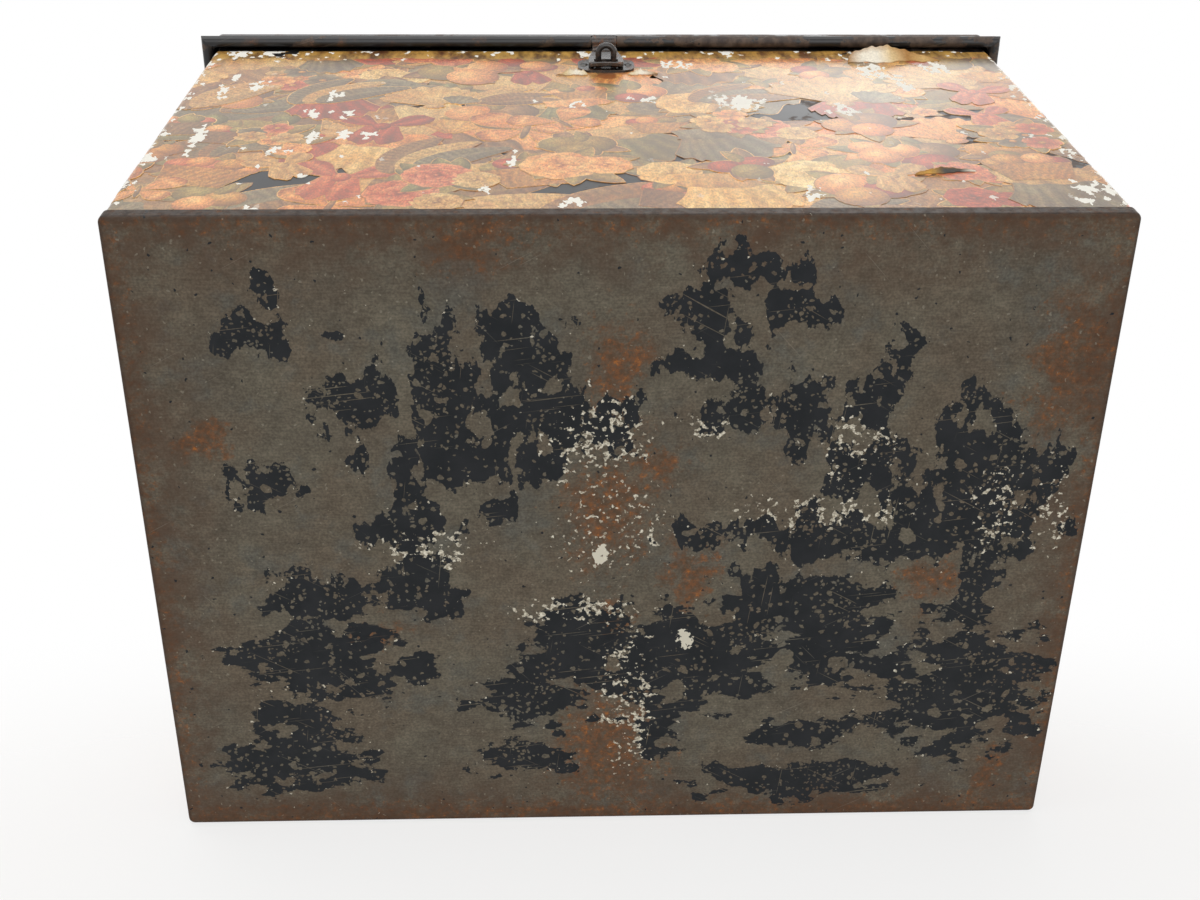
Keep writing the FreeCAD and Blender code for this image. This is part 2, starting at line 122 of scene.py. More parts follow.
def oval_seen(axis, level, left, top, right, bottom):
    """A box of pixels as an oval on that plane: its middle and its two reaches."""
    other = across_y + across_z - axis
    middle_right = (left + right) / 2
    middle_down = (top + bottom) / 2
    middle = seen_on(axis, level, middle_right, middle_down)
    wide = seen_on(axis, level, right, middle_down) - seen_on(axis, level, left, middle_down)
    tall = seen_on(axis, level, middle_right, bottom) - seen_on(axis, level, middle_right, top)
    return middle[0], middle[other], abs(wide[0]) / 2, abs(tall[other]) / 2


middle_seen = seen_on(across_z, pan_low.z, photo_width / 2, photo_height / 2)
print("the middle of the photograph lies on the bottom at", middle_seen)

# %% [markdown]
# ## Node helpers
# Materials are built in code, so small helpers keep them readable: they fill sockets, add a node with its
# settings, join values and give the place on the surface in millimetres.

# %% Sockets and nodes
def wire(tree, source, socket):
    """Links a socket to a socket, or sets a plain value. A colour of three numbers gets its alpha."""
    if isinstance(source, bpy.types.NodeSocket):
        tree.links.new(source, socket)
    elif socket.type == "RGBA" and len(source) == 3:
        socket.default_value = (*source, 1)
    else:
        socket.default_value = source


def wire_all(tree, wires, sockets):
    """Fills the sockets named in wires."""
    for name, source in wires.items():
        wire(tree, source, sockets[name])


def add(tree, kind, wires, **settings):
    """Adds one shader node, sets its properties and fills the input sockets named in wires."""
    node = tree.nodes.new("ShaderNode" + kind)
    for name, value in settings.items():
        setattr(node, name, value)
    wire_all(tree, wires, node.inputs)
    return node


# %% Values and places
def maths(tree, operation, *values, clamp=False):
    """One Math node, as a socket."""
    return add(tree, "Math", dict(enumerate(values)), operation=operation, use_clamp=clamp).outputs[0]


def joined(tree, operation, first, *others):
    """Several values joined by one operation, such as their product or the highest of them."""
    for other in others:
        first = maths(tree, operation, first, other)
    return first


def inverse(tree, mask):
    """Where a mask is not."""
    return maths(tree, "SUBTRACT", 1.0, mask)


def vector_maths(tree, operation, *values):
    """One Vector Math node, as a socket."""
    return add(tree, "VectorMath", dict(enumerate(values)), operation=operation).outputs["Vector"]


def moved(tree, place, step):
    """A place moved by a step."""
    return vector_maths(tree, "ADD", place, step)


def scaled(tree, place, factors):
    """A place scaled along each axis."""
    return vector_maths(tree, "MULTIPLY", place, factors)


def length_of(tree, vector):
    """The length of a vector."""
    return add(tree, "VectorMath", {0: vector}, operation="LENGTH").outputs["Value"]


def between(tree, value, low, high, to_low=0.0, to_high=1.0):
    """Maps a value smoothly from one range to another and holds it at the ends."""
    wires = {"Value": value, "From Min": low, "From Max": high, "To Min": to_low, "To Max": to_high}
    return add(tree, "MapRange", wires, interpolation_type="SMOOTHSTEP").outputs["Result"]


# %% Colours, noise and relief
def mix(tree, amount, under, over, blend="MIX"):
    """Lays one colour over another by a mask."""
    node = add(tree, "Mix", {0: amount, 6: under, 7: over}, data_type="RGBA", blend_type=blend)
    return node.outputs[2]


def laid_over(tree, under, over, mask, share):
    """Lays one colour over another by a share of a mask."""
    return mix(tree, maths(tree, "MULTIPLY", mask, share), under, over)


def shaded(tree, colour, strength):
    """A colour made lighter or darker by a strength around 1."""
    grey = add(tree, "CombineXYZ", {0: strength, 1: strength, 2: strength}).outputs[0]
    return mix(tree, 1.0, colour, grey, "MULTIPLY")


def noise_node(tree, place, scale, detail, roughness):
    """One Noise Texture node, with its outputs."""
    wires = {"Vector": place, "Scale": scale, "Detail": detail, "Roughness": roughness}
    return add(tree, "TexNoise", wires).outputs


def noise(tree, place, scale, detail=4.0, roughness=0.55):
    """Soft noise from 0 to 1."""
    return noise_node(tree, place, scale, detail, roughness)["Fac"]


def wander(tree, place, scale, detail, roughness=0.5):
    """Noise as a step in any direction, up to about half."""
    return vector_maths(tree, "SUBTRACT", noise_node(tree, place, scale, detail, roughness)["Color"],
                        (0.5, 0.5, 0.5))


def bump_of(tree, height, depth, strength):
    """A normal for relief whose depth is in millimetres."""
    wires = {"Height": height, "Distance": depth * mm, "Strength": strength}
    return add(tree, "Bump", wires).outputs[0]


# %% New materials
def place_in_mm(tree):
    """The place on the surface in millimetres, in the frame's axes, and its three parts."""
    place = add(tree, "VectorMath", {0: add(tree, "TexCoord", {}).outputs["Object"], "Scale": 1000.0},
                operation="SCALE").outputs["Vector"]
    return place, add(tree, "SeparateXYZ", {0: place}).outputs


def new_material(name):
    """An empty node material with its Principled shader, ready to be wired."""
    material = bpy.data.materials.new(name)
    material.use_nodes = True
    tree = material.node_tree
    return material, tree, tree.nodes["Principled BSDF"]


def linear(red, green, blue):
    """A colour as read off a screen, 0 to 255, turned into the linear light that shaders use."""
    parts = np.array((red, green, blue)) / 255
    return tuple(np.where(parts <= 0.04045, parts / 12.92, ((parts + 0.055) / 1.055) ** 2.4).tolist())


print("white paper in linear light:", linear(240, 235, 220))

# %% [markdown]
# ## Stage
# The photograph's floor is a white table under the back of the box. A second floor under the base serves
# the upright views. Each is seen from one side only and fades into the white world, so neither hides the
# box. Lamps are large and soft: the main one stands before the front wall, which faces up in the
# photograph, and weaker ones fill the bottom, the lid and the sides.

# %% Floors
def eye_rays(tree):
    """1 for rays that show what they hit, straight or in a mirror or glass, and 0 for rays of light."""
    path = add(tree, "LightPath", {}).outputs
    return joined(tree, "MAXIMUM", path["Is Camera Ray"], path["Is Glossy Ray"], path["Is Transmission Ray"])


def floor_material(name, centre, reach):
    """White paper that keeps the box's shadow and fades out at an oval edge. It is clear from behind."""
    material, tree, unused = new_material(name)
    tree.nodes.remove(unused)
    at = add(tree, "TexCoord", {}).outputs["Object"]
    away = vector_maths(tree, "DIVIDE", vector_maths(tree, "SUBTRACT", at, centre), reach)
    shown = between(tree, length_of(tree, away), 0.45, 1.0, 1.0, 0.0)
    shade_share = maths(tree, "MULTIPLY_ADD", eye_rays(tree), -0.7, 1.0)
    glow = add(tree, "Emission", {"Color": (1, 1, 1), "Strength": 1.0}).outputs[0]
    paper = add(tree, "BsdfDiffuse", {"Color": (0.94, 0.93, 0.905)}).outputs[0]
    lit = add(tree, "MixShader", {0: shade_share, 1: glow, 2: paper}).outputs[0]
    front = inverse(tree, add(tree, "NewGeometry", {}).outputs["Backfacing"])
    clear = add(tree, "BsdfTransparent", {}).outputs[0]
    final = add(tree, "MixShader", {0: maths(tree, "MULTIPLY", shown, front), 1: clear, 2: lit})
    tree.links.new(final.outputs[0], tree.nodes["Material Output"].inputs["Surface"])
    return material


def floor(name, corners, centre, reach):
    """One flat four-cornered floor, faced by the order of its corners."""
    mesh = bpy.data.meshes.new(name)
    mesh.from_pydata(corners, [], [(0, 1, 2, 3)])
    mesh.materials.append(floor_material(name, centre, reach))
    made = put_in_scene(name, mesh)
    return made


foot = Vector((0, pan_high.y, 0))
heel = Vector((0, hinge_high.y, hinge_high.z))
rise = (heel - foot).normalized()
near = foot - rise * 0.4
far = foot + rise * 0.145
table_middle = foot - rise * 0.115
table_reach = (0.62, 0.2, 0.26)
sides = Vector((0.7, 0, 0))
floor("table_behind", (near - sides, near + sides, far + sides, far - sides), table_middle, table_reach)
ground = 0.8
under = -0.4 * mm
shelf = floor("shelf_below", ((-ground, -ground, under), (ground, -ground, under), (ground, ground, under),
                              (-ground, ground, under)), (0, 0, 0), (ground, ground, ground))
for rays in ("diffuse", "glossy", "transmission", "shadow"):
    setattr(shelf, "visible_" + rays, False)
print("table tilts by", round(math.degrees(math.atan2(rise.y, rise.z)), 2), "degrees")

# %% World and lamps
world = bpy.data.worlds.new("white_room")
bpy.context.scene.world = world
world.use_nodes = True
room = world.node_tree
room.nodes.clear()
dim = add(room, "Background", {"Color": (1.0, 0.985, 0.96), "Strength": 0.34}).outputs[0]
white = add(room, "Background", {"Color": (1, 1, 1), "Strength": 1.0}).outputs[0]
backdrop = add(room, "MixShader", {0: eye_rays(room), 1: dim, 2: white}).outputs[0]
add(room, "OutputWorld", {"Surface": backdrop})


def softbox(name, place, width, height, watts):
    """A large soft lamp that looks at the middle of the box."""
    lamp = bpy.data.lights.new(name, "AREA")
    lamp.shape = "RECTANGLE"
    lamp.size = width
    lamp.size_y = height
    lamp.energy = watts
    holder = put_in_scene(name, lamp)
    holder.location = place
    aim = Vector((0, 0, 0.1)) - Vector(place)
    holder.rotation_euler = aim.to_track_quat("-Z", "Y").to_euler()


softbox("front_lamp", (-0.25, -1.35, 0.25), 1.6, 1.1, 11.0)
softbox("bottom_lamp", (0.1, -0.75, -1.1), 1.4, 1.0, 7.0)
softbox("lid_lamp", (0.2, 0.25, 1.35), 1.4, 1.2, 8.0)
softbox("rear_lamp", (0.4, 1.5, 0.5), 1.4, 1.0, 6.0)

# %% [markdown]
# ## Shared effects
# Flaking, round pits, flake cells, scratches, rust, a two-tone mottle and worn edges come back again and
# again. Each is a shader node group with named sockets, built once, and every material places it with its
# own values.

# %% Group builder
def new_group(name, inputs, outputs):
    """An empty shader node group. inputs and outputs are rows of (socket name, socket kind)."""
    tree = bpy.data.node_groups.new(name, "ShaderNodeTree")
    for label, kind in inputs:
        tree.interface.new_socket(label, in_out="INPUT", socket_type="NodeSocket" + kind)
    for label, kind in outputs:
        tree.interface.new_socket(label, in_out="OUTPUT", socket_type="NodeSocket" + kind)
    entry = tree.nodes.new("NodeGroupInput").outputs
    end = tree.nodes.new("NodeGroupOutput").inputs
    return tree, entry, end


def use(tree, group, wires):
    """Places a group in a material and returns its outputs."""
    return add(tree, "Group", wires, node_tree=group).outputs


# %% Flaking
flaking, entry, end = new_group(
    "Flaking", [("Place", "Vector"), ("Cover", "Float"), ("Flake Size", "Float"), ("Ragged", "Float"),
                ("Fine", "Float")], [("Mask", "Float"), ("Depth", "Float")])
fine_scale = maths(flaking, "DIVIDE", 1.0, entry["Flake Size"])
grain = noise(flaking, entry["Place"], fine_scale, 6.0, entry["Fine"])
grain = maths(flaking, "SUBTRACT", grain, 0.5)
deep = maths(flaking, "MULTIPLY_ADD", grain, entry["Ragged"], entry["Cover"])
wire(flaking, between(flaking, deep, -0.012, 0.012), end["Mask"])
wire(flaking, deep, end["Depth"])


def flake_mask(tree, place, cover, size, ragged, fine, output="Mask"):
    """Flakes of a size in millimetres. output can also be their depth."""
    wires = {"Place": place, "Cover": cover, "Flake Size": size, "Ragged": ragged, "Fine": fine}
    return use(tree, flaking, wires)[output]


# %% Round pits
pits, entry, end = new_group(
    "Round pits", [("Place", "Vector"), ("Spacing", "Float"), ("Radius", "Float"), ("Share", "Float")],
    [("Mask", "Float")])
nudge = scaled(pits, wander(pits, entry["Place"], 0.55, 2.0), (2.2, 2.2, 0.0))
pit_scale = maths(pits, "DIVIDE", 1.0, entry["Spacing"])
cells = add(pits, "TexVoronoi", {"Vector": moved(pits, entry["Place"], nudge), "Scale": pit_scale},
            voronoi_dimensions="2D").outputs
lot = add(pits, "SeparateColor", {0: cells["Color"]}).outputs[0]
above = maths(pits, "ADD", maths(pits, "SUBTRACT", lot, 1.0), entry["Share"])
share_above = maths(pits, "DIVIDE", above, entry["Share"], clamp=True)
radius = maths(pits, "MULTIPLY", maths(pits, "SQRT", share_above), entry["Radius"])
inside = maths(pits, "SUBTRACT", radius, maths(pits, "MULTIPLY", cells["Distance"], entry["Spacing"]))
wire(pits, between(pits, inside, -0.06, 0.1), end["Mask"])


def pit_mask(tree, place, spacing, radius, share):
    """Pits with a spacing and a greatest radius in millimetres, in a share of the cells."""
    wires = {"Place": place, "Spacing": spacing, "Radius": radius, "Share": share}
    return use(tree, pits, wires)["Mask"]


# %% Flake cells
flake_cells, entry, end = new_group("Flake cells", [("Place", "Vector"), ("Size", "Float")],
                                    [("Cell", "Vector"), ("Lot", "Float")])
tall = (1.0, 1.0, 0.5)
wobble = scaled(flake_cells, wander(flake_cells, entry["Place"], 0.6, 3.0), (2.6, 2.6, 2.6))
squeezed = scaled(flake_cells, moved(flake_cells, entry["Place"], wobble), tall)
cell_scale = maths(flake_cells, "DIVIDE", 1.0, entry["Size"])
cells = add(flake_cells, "TexVoronoi", {"Vector": squeezed, "Scale": cell_scale}).outputs
wire(flake_cells, vector_maths(flake_cells, "DIVIDE", cells["Position"], tall), end["Cell"])
wire(flake_cells, add(flake_cells, "SeparateColor", {0: cells["Color"]}).outputs[0], end["Lot"])

# %% Fine scratches
scratches, entry, end = new_group(
    "Fine scratches", [("Place", "Vector"), ("Angle", "Float"), ("Amount", "Float")], [("Mask", "Float")])
turned = add(scratches, "VectorRotate", {"Vector": entry["Place"], "Angle": entry["Angle"]},
             rotation_type="Z_AXIS").outputs[0]
lines = noise(scratches, scaled(scratches, turned, (0.03, 1.5, 0.03)), 1.0, 1.0)
limit = maths(scratches, "SUBTRACT", 0.8, maths(scratches, "MULTIPLY", entry["Amount"], 0.15))
wire(scratches, between(scratches, maths(scratches, "SUBTRACT", lines, limit), 0.0, 0.03), end["Mask"])


def scratch_mask(tree, place, angle, amount):
    """Scratches that run at an angle."""
    return use(tree, scratches, {"Place": place, "Angle": angle, "Amount": amount})["Mask"]


# %% Rust
rust, entry, end = new_group(
    "Rust", [("Place", "Vector"), ("Cover", "Float"), ("Bloom Size", "Float")],
    [("Mask", "Float"), ("Color", "Color")])
bloom = noise(rust, entry["Place"], maths(rust, "DIVIDE", 1.0, entry["Bloom Size"]), 8.0, 0.72)
wire(rust, between(rust, maths(rust, "ADD", bloom, entry["Cover"]), 0.45, 0.68), end["Mask"])
freckle = noise(rust, moved(rust, entry["Place"], (0.0, 0.0, 3.1)), 0.42, 5.0, 0.7)
brown = mix(rust, between(rust, freckle, 0.4, 0.6), linear(88, 68, 52), linear(130, 84, 52))
wire(rust, mix(rust, between(rust, freckle, 0.57, 0.68), brown, linear(186, 112, 46)), end["Color"])


def rust_on(tree, place, cover, bloom):
    """A mask of rust whose blooms have a size in millimetres, and its colour."""
    return use(tree, rust, {"Place": place, "Cover": cover, "Bloom Size": bloom})


# %% Mottle
mottle, entry, end = new_group(
    "Mottle", [("Place", "Vector"), ("Spot Size", "Float"), ("First", "Color"), ("Second", "Color")],
    [("Color", "Color")])
clouds = noise(mottle, entry["Place"], maths(mottle, "DIVIDE", 1.0, entry["Spot Size"]), 6.0, 0.62)
cloudy = between(mottle, clouds, 0.33, 0.67)
wire(mottle, mix(mottle, cloudy, entry["First"], entry["Second"]), end["Color"])


def mottled(tree, place, spot, first, second):
    """Two tones, given as read off a screen, in clouds of a size in millimetres."""
    wires = {"Place": place, "Spot Size": spot, "First": linear(*first), "Second": linear(*second)}
    return use(tree, mottle, wires)["Color"]


# %% Edge wear
edge_wear, entry, end = new_group(
    "Edge wear", [("Place", "Vector"), ("Reach", "Float"), ("Amount", "Float")], [("Mask", "Float")])
rounded = add(edge_wear, "Bevel", {"Radius": entry["Reach"]}, samples=4).outputs[0]
facing = add(edge_wear, "NewGeometry", {}).outputs["Normal"]
agree = add(edge_wear, "VectorMath", {0: rounded, 1: facing}, operation="DOT_PRODUCT").outputs["Value"]
sharp = inverse(edge_wear, agree)
patchy = noise(edge_wear, entry["Place"], 0.35, 5.0, 0.65)
worn = maths(edge_wear, "ADD", sharp, maths(edge_wear, "MULTIPLY", patchy, 0.25))
bare = between(edge_wear, worn, 0.2, 0.32)
wire(edge_wear, maths(edge_wear, "MULTIPLY", bare, entry["Amount"]), end["Mask"])


def edge_mask(tree, place, reach, amount):
    """Bare edges, with the reach of the wear in millimetres."""
    return use(tree, edge_wear, {"Place": place, "Reach": reach * mm, "Amount": amount})["Mask"]


print("groups:", [g.name for g in bpy.data.node_groups])

# %% [markdown]
# ## The bottom
# Most of the photograph is this sheet. Its lacquer has gone except for ragged black islands, and the
# bare tin is grey-brown with rust along the edges. The islands are ovals where the lacquer survives. Their
# outline is warped by noise and broken up by the flaking group, so no oval shows.

# %% Places on the bottom: left, top, right and bottom in the photograph
lacquer_seen = (
    (244, 267, 279, 306), (208, 312, 280, 360), (321, 327, 345, 345), (235, 462, 297, 507),
    (315, 375, 405, 435), (405, 327, 477, 483), (477, 315, 570, 393), (478, 388, 638, 446),
    (388, 430, 560, 491), (390, 480, 429, 507), (594, 435, 636, 462), (372, 507, 459, 556),
    (480, 501, 513, 534), (381, 556, 459, 619), (686, 252, 806, 291), (663, 285, 713, 318),
    (696, 291, 749, 358), (666, 348, 769, 381), (772, 285, 835, 331), (698, 385, 774, 430),
    (779, 371, 826, 457), (849, 368, 895, 437), (895, 328, 912, 387), (822, 437, 925, 490),
    (925, 404, 1025, 523), (1015, 437, 1068, 490), (878, 480, 1042, 564), (766, 507, 882, 560),
    (679, 516, 753, 548), (261, 574, 384, 619), (219, 631, 348, 676), (261, 619, 396, 700),
    (394, 652, 446, 694), (254, 703, 358, 739), (230, 734, 373, 792), (480, 670, 579, 724),
    (485, 738, 571, 773), (524, 598, 648, 703), (597, 613, 779, 709), (713, 570, 878, 629),
    (759, 520, 1001, 560), (878, 629, 1038, 749), (762, 598, 896, 684), (947, 557, 995, 632),
    (699, 761, 882, 796), (747, 720, 860, 748), (636, 706, 680, 752))
rust_seen = (
    (594, 323, 646, 422), (635, 438, 685, 482), (565, 467, 645, 563), (905, 560, 955, 605),
    (968, 758, 1007, 792), (560, 690, 650, 810), (429, 221, 511, 259), (595, 600, 625, 630),
    (345, 625, 400, 650), (188, 428, 227, 467), (1038, 296, 1102, 424), (667, 545, 710, 622))
crumbs_seen = (
    (560, 410, 640, 470), (567, 485, 653, 565), (835, 425, 880, 470), (760, 500, 890, 520),
    (975, 470, 1010, 530), (1040, 480, 1065, 545), (605, 660, 645, 760), (520, 600, 610, 620),
    (385, 540, 470, 560), (690, 420, 720, 440))
scuffs_seen = ((675, 631, 695, 651), (592, 542, 611, 568))


def on_bottom(boxes):
    """Boxes of pixels as ovals on the bottom sheet."""
    return [oval_seen(across_z, pan_low.z, *box) for box in boxes]


lacquer_islands = on_bottom(lacquer_seen)
rust_places = on_bottom(rust_seen)
crumb_places = on_bottom(crumbs_seen)
white_scuffs = on_bottom(scuffs_seen)


def nearness(tree, place, ovals):
    """1 in the middle of the nearest oval, 0 on its outline and less outside."""
    nearest = None
    for x, y, reach_x, reach_y in ovals:
        in_reaches = vector_maths(tree, "MULTIPLY_ADD", place, (1 / reach_x, 1 / reach_y, 0),
                                  (-x / reach_x, -y / reach_y, 0))
        away = length_of(tree, in_reaches)
        nearest = away if nearest is None else maths(tree, "SMOOTH_MIN", nearest, away, 0.25)
    return inverse(tree, nearest)


def from_sides(tree, x, y, half_x, half_y):
    """How far a place lies inside a rectangle about the middle, in millimetres."""
    in_x = maths(tree, "SUBTRACT", half_x, maths(tree, "ABSOLUTE", x))
    in_y = maths(tree, "SUBTRACT", half_y, maths(tree, "ABSOLUTE", y))
    return maths(tree, "MINIMUM", in_x, in_y)


print("islands of lacquer:", len(lacquer_islands))

# %% Bare tin
def bare_tin(tree, place):
    """Dull grey-brown tin: soft clouds of olive and brown, fine grain and faint rolling lines."""
    colour = mottled(tree, place, 26.0, (93, 86, 75), (105, 99, 86))
    warm = between(tree, noise(tree, place, 0.026, 6.0, 0.62), 0.42, 0.62)
    colour = laid_over(tree, colour, linear(100, 87, 73), warm, 0.5)
    cool = noise(tree, moved(tree, place, (0.0, 0.0, 41.3)), 0.06, 6.0, 0.66)
    colour = laid_over(tree, colour, linear(94, 93, 86), between(tree, cool, 0.5, 0.68), 0.75)
    off_lattice = moved(tree, place, (0.0, 0.0, 5.4))
    rolled = noise(tree, scaled(tree, place, (0.12, 1.6, 1.0)), 1.0, 4.0, 0.6)
    grain = noise(tree, off_lattice, 1.25, 2.5, 0.55)
    smudged = noise(tree, off_lattice, 0.2, 6.0, 0.68)
    strength = joined(tree, "MULTIPLY", between(tree, rolled, 0.3, 0.7, 0.9, 1.1),
                      between(tree, grain, 0.25, 0.75, 0.76, 1.24),
                      between(tree, smudged, 0.3, 0.7, 0.84, 1.16))
    return shaded(tree, colour, strength)


# %% Rust, lacquer and crumbs on the bottom
def rusted_tin(tree, place, at, strayed):
    """Bare tin with rust in clouds and along the edges. Also gives the mask of the fine rust."""
    colour = bare_tin(tree, place)
    from_edge = from_sides(tree, at["X"], at["Y"], pan_high.x / mm, pan_high.y / mm)
    border = between(tree, from_edge, 0.0, 24.0, 0.04, -0.3)
    border = maths(tree, "MAXIMUM", border, between(tree, at["Y"], 90.0, 114.0, -0.3, 0.09))
    clouds = between(tree, nearness(tree, strayed(42.0), rust_places), -1.5, 0.9, -0.2, 0.11)
    rust_cover = maths(tree, "MAXIMUM", border, clouds)
    stain = rust_on(tree, place, rust_cover, 12.0)["Mask"]
    colour = laid_over(tree, colour, linear(100, 76, 59), stain, 0.5)
    rusty = rust_on(tree, place, rust_cover, 2.6)
    colour = laid_over(tree, colour, rusty["Color"], rusty["Mask"], 0.8)
    browned = between(tree, from_edge, 1.0, 34.0, 0.7, 0.0)
    broken = noise(tree, moved(tree, place, (0.0, 0.0, 17.7)), 0.07, 8.0, 0.74)
    colour = laid_over(tree, colour, linear(84, 62, 48), browned, between(tree, broken, 0.38, 0.6))
    very_edge = between(tree, from_edge, 0.3, 2.2, 0.6, 0.0)
    return mix(tree, very_edge, colour, linear(54, 42, 35)), rusty["Mask"]


def lacquer_left(tree, place, at, strayed):
    """A mask of the black lacquer that is left, with its pits and scratches, and its depth."""
    cover = maths(tree, "MULTIPLY_ADD", nearness(tree, strayed(20.0), lacquer_islands), 0.4, -0.015)
    upper, lower = [flake_mask(tree, scaled(tree, place, stretch), cover, 9.0, 1.55, 0.56, "Depth")
                    for stretch in ((1.25, 0.7, 1.0), (0.72, 1.2, 1.0))]
    depth = add(tree, "Mix", {0: between(tree, at["Y"], -10.0, 50.0), 2: upper, 3: lower}).outputs[0]
    worn_thin = between(tree, noise(tree, place, 0.05, 2.0), 0.35, 0.7, 0.25, 0.8)
    netted = between(tree, noise(tree, place, 0.045, 2.0), 0.5, 0.68, 0.02, 0.8)
    uneven = strayed(11.0)
    holes = [pit_mask(tree, place, 3.0, 0.75, worn_thin), pit_mask(tree, place, 1.7, 0.55, netted),
             pit_mask(tree, uneven, 8.0, 1.5, 0.5), pit_mask(tree, uneven, 19.0, 3.2, 0.4)]
    for angle, amount in ((0.12, 0.65), (2.62, 0.5), (1.45, 0.4)):
        holes.append(scratch_mask(tree, place, angle, amount))
    whole = inverse(tree, joined(tree, "MAXIMUM", *holes))
    islands = maths(tree, "MULTIPLY", between(tree, depth, -0.012, 0.012), whole)
    specks = pit_mask(tree, moved(tree, place, (37.0, 11.0, 0.0)), 6.0, 0.5, 0.22)
    return maths(tree, "MAXIMUM", islands, specks), depth


def crumbs_left(tree, place, depth, strayed, colour):
    """Lays white crumbs, dust, scratches and scuffs on the bottom. Also gives the mask of the crumbs."""
    rim = between(tree, maths(tree, "ABSOLUTE", depth), 0.0, 0.16, 0.17, 0.0)
    crumbling = between(tree, nearness(tree, strayed(20.0), crumb_places), -1.2, 0.2, -0.41, -0.17)
    crumbs = flake_mask(tree, place, maths(tree, "ADD", rim, crumbling), 1.9, 1.55, 0.5)
    crumb_white = mottled(tree, place, 1.1, (150, 140, 120), (246, 240, 222))
    colour = laid_over(tree, colour, crumb_white, crumbs, 0.95)
    dust = pit_mask(tree, moved(tree, place, (5.0, 71.0, 0.0)), 2.6, 0.4, 0.16)
    colour = laid_over(tree, colour, linear(156, 150, 134), dust, 0.4)
    scored = maths(tree, "MAXIMUM", scratch_mask(tree, place, 0.5, 0.3), scratch_mask(tree, place, 2.3, 0.25))
    colour = laid_over(tree, colour, linear(140, 132, 120), scored, 0.35)
    scuffed = maths(tree, "MULTIPLY_ADD", nearness(tree, strayed(11.0), white_scuffs), 0.3, -0.1)
    scuffs = flake_mask(tree, place, scuffed, 2.4, 1.0, 0.5)
    return laid_over(tree, colour, linear(232, 226, 208), scuffs, 0.9), crumbs


# %% Bottom finish
def bottom_tin():
    """Bare tin with islands of black lacquer, rust in clouds and along the edges, crumbs and scratches."""
    material, tree, shader = new_material("worn_bottom_tin")
    place, at = place_in_mm(tree)
    astray = wander(tree, place, 0.07, 4.0, 0.6)

    def strayed(reach):
        """The place, led astray within the sheet by up to about half of reach."""
        return moved(tree, place, scaled(tree, astray, (reach, reach, 0.0)))

    colour, rusty = rusted_tin(tree, place, at, strayed)
    black, depth = lacquer_left(tree, place, at, strayed)
    colour = mix(tree, black, colour, mottled(tree, place, 12.0, (28, 31, 34), (38, 40, 43)))
    colour, crumbs = crumbs_left(tree, place, depth, strayed, colour)

    faces_to = add(tree, "SeparateXYZ", {0: add(tree, "NewGeometry", {}).outputs["Normal"]}).outputs[2]
    flange = maths(tree, "LESS_THAN", maths(tree, "ABSOLUTE", faces_to), 0.5)
    scuffed = between(tree, noise(tree, place, 0.5, 6.0, 0.7), 0.36, 0.62, 0.85, 0.1)
    colour = laid_over(tree, colour, linear(38, 31, 27), flange, scuffed)
    inner = maths(tree, "GREATER_THAN", faces_to, 0.5)
    colour = mix(tree, inner, colour, mix(tree, 0.35, bare_tin(tree, place), linear(150, 144, 132)))
    black = maths(tree, "MULTIPLY", black, inverse(tree, inner))
    gloss = maths(tree, "MULTIPLY_ADD", black, -0.1, 0.6)
    gloss = maths(tree, "MULTIPLY_ADD", flange, -0.22, gloss)
    gloss = maths(tree, "MULTIPLY_ADD", rusty, 0.2, gloss)
    relief = maths(tree, "MULTIPLY_ADD", noise(tree, place, 0.9, 6.0, 0.7), 0.5, black)
    relief = maths(tree, "MULTIPLY_ADD", crumbs, 1.5, relief)
    wire_all(tree, {"Base Color": colour, "Roughness": gloss, "Normal": bump_of(tree, relief, 0.06, 0.6),
                    "Specular IOR Level": 0.16}, shader.inputs)
    return material


def finish_nodes(material, *names):
    """Gives CAD nodes a finish."""
    for name in names:
        nodes[name].data.materials.clear()
        nodes[name].data.materials.append(material)


finish_nodes(bottom_tin(), "base_pan")
print("bottom nodes:", len(bpy.data.materials["worn_bottom_tin"].node_tree.nodes))

# %% [markdown]
# ## Black japan and iron
# The lid, the back and what shows between the scraps are black japan: a glossy lacquer over tin, with
# brown where it has worn thin. Inside, the sheet is plain dull tin, told apart by its place in the box.
# The hasp, hinges, wire and handle are black iron with bare edges and a little rust.

# %% Black japan
def plain_inside(tree, place, at):
    """A mask of the walls' inner faces, and the dull tin there."""
    reach_x = maths(tree, "DIVIDE", maths(tree, "ABSOLUTE", at["X"]), half_width / mm)
    reach_y = maths(tree, "DIVIDE", maths(tree, "ABSOLUTE", at["Y"]), half_depth / mm)
    inner = maths(tree, "LESS_THAN", maths(tree, "MAXIMUM", reach_x, reach_y), 0.9985)
    tin = mix(tree, 0.4, bare_tin(tree, place), linear(158, 152, 140))
    damp = rust_on(tree, place, between(tree, at["Z"], 2.0, 60.0, 0.05, -0.14), 6.0)
    tin = laid_over(tree, tin, damp["Color"], damp["Mask"], 0.8)
    return inner, laid_over(tree, tin, linear(186, 180, 168), scratch_mask(tree, place, 1.2, 0.5), 0.4)


